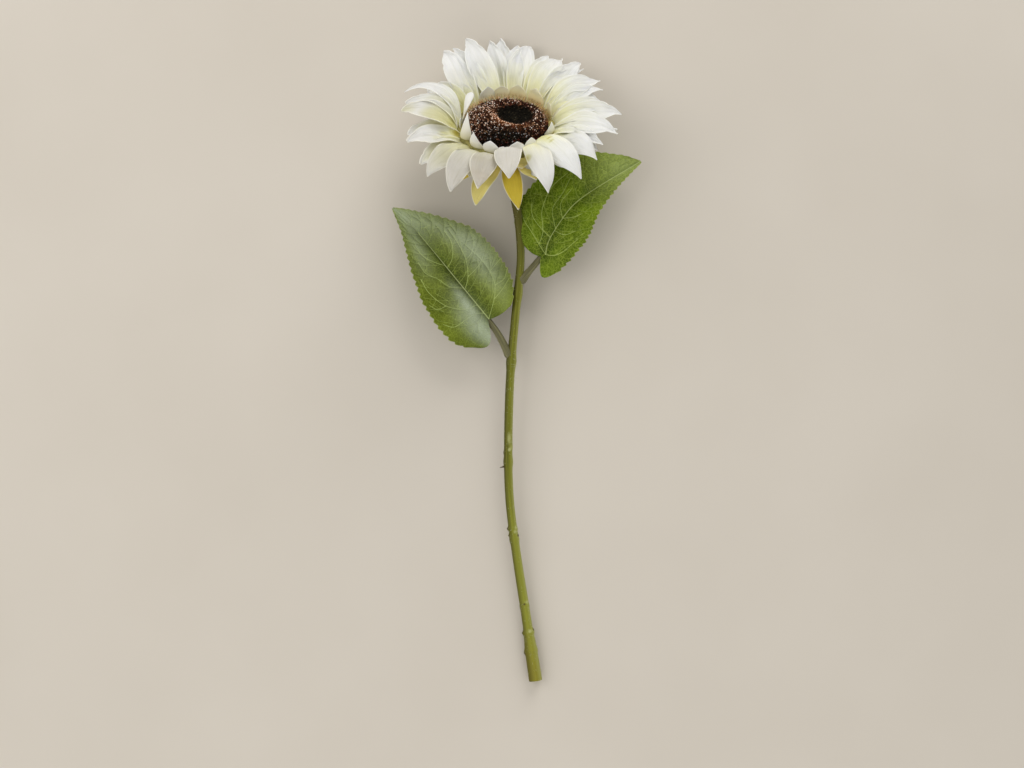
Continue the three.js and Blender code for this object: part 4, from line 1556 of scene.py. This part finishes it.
def inner_finish():
    """Short inner petals: cream, and tan like parchment where the tone is high."""
    f = Finish(
        "inner_petal",
        Roughness=0.5,
        Subsurface_Weight=0.5,
        Subsurface_Radius=(1.0, 0.95, 0.8),
        Subsurface_Scale=0.003,
    )
    flat = f.flat()
    along = f.node("SeparateXYZ", {0: flat}, output=0)
    cream = f.ramp(along, (0.0, (0.7, 0.64, 0.38)), (0.5, (0.88, 0.86, 0.76)), (1.0, (0.9, 0.9, 0.86)))
    tan = f.ramp(
        along,
        (0.0, (0.6, 0.36, 0.13)),
        (0.35, (0.74, 0.56, 0.3)),
        (0.6, (0.78, 0.69, 0.42)),
        (1.0, (0.8, 0.76, 0.54)),
    )
    f.colour(f.mix(f.span(f.attribute("tone"), 0.15, 0.45), cream, tan))
    f.relief(f.noise(flat, 1.0, 3, 0.6, (2, 26, 1)), 0.5, 0.0004)
    return f


def leaf_finish():
    """A leaf: olive green in a shaded and a lit copy as painted light, with a net of pale veins, painted
    shade along the midrib and in its crease, a satin bloom of painted sheen and a thin pale rim.
    """
    f = Finish("leaf_green", Roughness=0.5, Specular_IOR_Level=0.12)
    here = f.here()
    sunny, tip, midrib = f.attribute("sunny"), f.attribute("tip"), f.attribute("midrib")
    patch = f.noise(here, 34, 3, 0.6)
    grain = f.noise(here, 1400, 3, 0.7)
    # Painted light: two copies of one leaf green, shaded and lit, mixed by the sunny number.
    shaded_green = f.ramp(
        patch, (0.3, (0.075, 0.095, 0.003)), (0.5, (0.115, 0.138, 0.007)), (0.7, (0.175, 0.205, 0.02))
    )
    sunny_green = f.ramp(
        patch, (0.32, (0.058, 0.092, 0.001)), (0.5, (0.098, 0.156, 0.001)), (0.68, (0.165, 0.248, 0.003))
    )
    # Painted shade: the green is darker within about 12 mm of the midrib.
    midrib_shade = f.times(f.span(midrib, 1.0, 12.0, 0.85, 0.0), f.math("SUBTRACT", 1.0, tip))
    green = f.layers(
        f.mix(sunny, shaded_green, sunny_green),
        (midrib_shade, (0.44, 0.5, 0.5), "MULTIPLY"),
        (f.times(tip, 0.55), (0.29, 0.34, 0.07)),
        (f.span(grain, 0.4, 0.7, 0.0, 0.35), (0.55, 0.6, 0.5), "MULTIPLY"),
    )
    nudge = f.node("VectorMath", {0: f.noise(here, 260, 2, 0.5, output=1), 3: 0.0022}, operation="SCALE")
    drift = f.node("VectorMath", {0: here, 1: nudge})
    nets = []
    for scale, wide in ((500.0, 0.1), (175.0, 0.06)):
        cell = {"Vector": drift, "Scale": scale, "Randomness": 1.0}
        edge = f.node("TexVoronoi", cell, output="Distance", feature="DISTANCE_TO_EDGE")
        nets.append(f.span(edge, 0.0, wide, 1.0, 0.0))
    fine, cells = nets
    pale = f.mix(0.6, green, (0.42, 0.52, 0.07))
    clear = f.span(sunny, 0.25, 1.0, 0.3, 0.52)
    # Painted shadow in the crease right along the midrib, as deep as the leaf's crease number.
    crease_shadow = f.times(f.span(midrib, 0.4, 1.3, 1.0, 0.0), f.attribute("crease"))
    # Painted sheen: grey-green satin patches where the bloom number is high.
    bloom = f.times(f.attribute("bloom"), f.span(patch, 0.2, 0.8, 0.5, 0.8))
    colour = f.layers(
        green,
        (f.times(fine, clear), pale),
        (f.times(cells, clear), pale),
        (f.span(f.attribute("small"), 0.05, 0.35, 0.65, 0.0), (0.34, 0.42, 0.09)),
        (f.span(f.attribute("main"), 0.1, 0.42, 0.72, 0.0), (0.43, 0.52, 0.15)),
        (crease_shadow, (0.035, 0.04, 0.014)),
        (f.span(midrib, 0.15, 0.6, 0.72, 0.0), (0.47, 0.54, 0.2)),
        (f.times(bloom, f.span(grain, 0.3, 0.7, 1.1, 0.75)), (0.5, 0.57, 0.42)),
        (f.span(f.attribute("edge"), 0.98, 1.0, 0.0, 0.5), (0.5, 0.52, 0.2)),
    )
    f.colour(colour)
    f.relief(f.math("ADD", f.times(fine, -0.3), f.times(cells, -0.5)), 0.4, 0.0006)
    return f


def stalk_finish():
    f = Finish("leaf_stalk", Roughness=0.6, Sheen_Weight=0.1)
    ribs = f.noise(f.flat(), 1.0, 3, 0.6, (3, 24, 1))
    f.colour(f.ramp(ribs, (0.3, (0.05, 0.047, 0.014)), (0.55, (0.12, 0.11, 0.04)), (0.78, (0.32, 0.3, 0.13))))
    f.relief(ribs, 0.4, 0.0004)
    return f


def stem_finish():
    """The stem: ribbed green, yellow at its foot, brown at its neck, with pale and brown knobs, painted shade
    down its left side and painted light down its right.
    """
    f = Finish("stem_green", Roughness=0.5, Specular_IOR_Level=0.2)
    ribs = f.noise(f.flat(), 1.0, 4, 0.6, (8, 30, 1))
    along, knob, turn = f.attribute("along"), f.attribute("knob"), f.attribute("round")
    colour = f.layers(
        f.ramp(ribs, (0.3, (0.085, 0.09, 0.006)), (0.7, (0.22, 0.225, 0.02))),
        (f.span(along, 0.15, 0.45, 0.55, 0.0), (0.3, 0.31, 0.04)),
        (f.span(along, 0.0, 0.12, 0.5, 0.0), (0.22, 0.165, 0.015)),
        # Painted shade on the stem's left side and painted light on its right, by the side each point faces.
        (f.span(turn, -0.9, 0.2, 0.7, 0.0), (0.3, 0.26, 0.12), "MULTIPLY"),
        (f.span(turn, 0.3, 0.9, 0.0, 0.5), (0.4, 0.41, 0.12)),
        (f.span(along, 0.72, 0.9, 0.0, 0.8), (0.075, 0.062, 0.014)),
        (f.span(knob, 0.1, 0.8, 0.0, 0.75), (0.42, 0.43, 0.17)),
        (f.span(knob, -0.7, -0.1, 1.0, 0.0), (0.06, 0.04, 0.015)),
    )
    f.colour(colour)
    f.relief(ribs, 0.4, 0.0004)
    return f


def floret_finish():
    """Dark tubes: brown, redder round the crater, near black in it. Painted shade makes them near black on
    the front slope and up the crater's back wall, and darkens each tube towards its foot.
    """
    f = Finish("floret_brown", Roughness=0.8, Specular_IOR_Level=0.1)
    tint = f.attribute("tint")
    lit = f.ramp(
        tint,
        (0.0, (0.01, 0.004, 0.002)),
        (0.5, (0.028, 0.011, 0.006)),
        (0.8, (0.09, 0.036, 0.018)),
        (1.0, (0.45, 0.25, 0.14)),
    )
    lit = f.mix(f.times(f.attribute("warm"), 0.75), lit, (0.3, 0.1, 0.025))
    # Painted shade: each tube is darker towards its foot, down between the florets, and takes the lit colour
    # at its top.
    tube = f.mix(f.span(f.attribute("up"), 0.6, 1.0), (0.018, 0.007, 0.004), lit)
    dark = f.ramp(
        tint, (0.0, (0.003, 0.002, 0.001)), (0.85, (0.01, 0.008, 0.004)), (1.0, (0.04, 0.03, 0.016))
    )
    # Near black for young florets, and as painted shade on the front slope and the crater's back wall.
    crater_and_shade_dark = f.math("MAXIMUM", f.span(f.attribute("young_and_shaded"), 0.3, 0.7), f.attribute("front"))
    f.colour(f.mix(crater_and_shade_dark, tube, dark))
    return f


def grain_finish():
    """Pale grains of pollen: pinkish on the dome, orange round the crater, grey with painted shade on the
    front slope, dark in the crater and with painted shade up its back wall.
    """
    f = Finish("pollen_grain", Roughness=0.4)
    tint = f.attribute("tint")
    colour = f.layers(
        f.ramp(tint, (0.0, (0.3, 0.14, 0.08)), (0.5, (0.85, 0.58, 0.42)), (0.9, (1.0, 0.95, 0.88))),
        (f.times(f.attribute("warm"), 0.65), (1.0, 0.5, 0.23)),
        # Painted shade: grains on the front slope turn grey to black.
        (f.attribute("front"), f.ramp(tint, (0.0, (0.03, 0.03, 0.03)), (1.0, (0.42, 0.42, 0.42)))),
        (f.span(f.attribute("young_and_shaded"), 0.3, 0.7), (0.05, 0.045, 0.025)),
    )
    f.colour(colour)
    return f


def bristle_finish():
    f = Finish("disc_bristle", Roughness=0.5, Subsurface_Weight=0.5, Subsurface_Scale=0.002)
    tint = f.attribute("tint")
    edge = f.ramp(tint, (0.0, (0.2, 0.08, 0.02)), (0.35, (0.7, 0.46, 0.18)), (1.0, (0.98, 0.88, 0.6)))
    brown = f.ramp(tint, (0.0, (0.012, 0.006, 0.004)), (1.0, (0.08, 0.035, 0.02)))
    f.colour(f.mix(f.attribute("rim"), brown, edge))
    return f


def speckled(name, specks, stops, relief=None, **constants):
    """A finish with specks between two colours, and a fine relief of the same specks."""
    f = Finish(name, **constants)
    speck = f.noise(f.here(), *specks)
    f.colour(f.ramp(speck, *stops))
    if relief:
        f.relief(speck, *relief)
    return f


def calyx_finish():
    green = (0.3, (0.09, 0.13, 0.025)), (0.7, (0.2, 0.26, 0.07))
    return speckled("calyx_green", (160, 4, 0.6), green, (0.4, 0.0006), Roughness=0.6, Sheen_Weight=0.4)


def ring_finish():
    olive = (0.3, (0.14, 0.13, 0.03)), (0.7, (0.36, 0.32, 0.09))
    return speckled("petal_root_ring", (400, 3), olive, (0.3, 0.0005), Roughness=0.7)


def dark_finish():
    brown = (0.3, (0.004, 0.003, 0.002)), (0.8, (0.02, 0.01, 0.006))
    return speckled("disc_depth", (900, 2), brown, Roughness=0.95, Specular_IOR_Level=0.05)


def floor_finish():
    pale = (0.3, (0.565, 0.518, 0.448)), (0.7, (0.593, 0.546, 0.476))
    return speckled("pale_floor", (6, 3), pale, Roughness=0.85)


# Light and floor, in metres. Each lamp has a name, a place, watts and a colour.

LAMPS = [
    ("window", (0.5, 1.6, 0.85), 17.5, (1.0, 0.99, 0.975)),
    ("room", (-1.1, 0.3, 1.1), 8.5, (1.0, 0.985, 0.97)),
    ("front", (0.1, -1.4, 0.8), 9.5, (1.0, 0.99, 0.97)),
]
LAMP_SIZE = 1.2
SKY = {"colour": (1.0, 0.99, 0.97), "strength": 0.52}
FLOOR_SIZE = 6


def area_light(name, place, watts, colour):
    """A square lamp that shines on the bloom."""
    bpy.ops.object.light_add(type="AREA", location=place)
    lamp = bpy.context.object
    lamp.name = name
    lamp.data.size = LAMP_SIZE
    lamp.data.energy = watts
    lamp.data.color = colour
    lamp.rotation_euler = (HEAD_CENTRE - Vector(place)).to_track_quat("-Z", "Y").to_euler()


def light_the_studio():
    world = bpy.data.worlds.new("studio")
    world.use_nodes = True
    sky = world.node_tree.nodes["Background"]
    sky.inputs["Color"].default_value = opaque(SKY["colour"])
    sky.inputs["Strength"].default_value = SKY["strength"]
    bpy.context.scene.world = world
    for name, place, watts, colour in LAMPS:
        area_light(name, place, watts, colour)
    bpy.context.scene.view_settings.view_transform = "Standard"


look_from_above()
light_the_studio()
bpy.ops.mesh.primitive_plane_add(size=FLOOR_SIZE)
floor = added("floor")
dress(floor, floor_finish())

petals = make_petals()
ring = make_ring()
base = disc_base()
florets, pollen = make_florets()
bristles = make_bristles()
calyx = make_calyx()
stem = make_stem()
hairs = stem_hairs()
blades = {name: make_leaf(name, leaf) for name, leaf in LEAVES.items()}
stalks = {name: make_stalk(name, leaf) for name, leaf in LEAVES.items()}
for piece in (calyx, stem, hairs):
    rest_on_floor(piece)

# Each piece with the solid it stands for, its slot and its finish. The disc's pieces come last, since
# they are not smoothed here.
green, brown, cream, parchment = leaf_finish(), stalk_finish(), petal_finish(), inner_finish()
plan = [
    (calyx, "calyx", "calyx", calyx_finish()),
    (stem, "stem", "stem", stem_finish()),
    (hairs, "stem", "stem", Finish("pale_hair", Base_Color=(0.55, 0.56, 0.34, 1), Roughness=0.6)),
]
for name in LEAVES:
    plan += [(blades[name], name, "leaf", green), (stalks[name], name, "leaf", brown)]
for name, piece in petals.items():
    plan.append((piece, "ray_petals", "petal", parchment if name == "inner" else cream))
plan.append((ring, "ray_petals", "petal", ring_finish()))
for row in plan:
    smooth(row[0], SMOOTH_BELOW)
plan += [
    (base, "disc", "disc", dark_finish()),
    (florets, "disc", "disc", floret_finish()),
    (pollen, "disc", "disc", grain_finish()),
    (bristles, "disc", "disc", bristle_finish()),
]
for piece, node, slot, finish in plan:
    dress(piece, finish)
    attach(piece, "root")
    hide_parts(node)
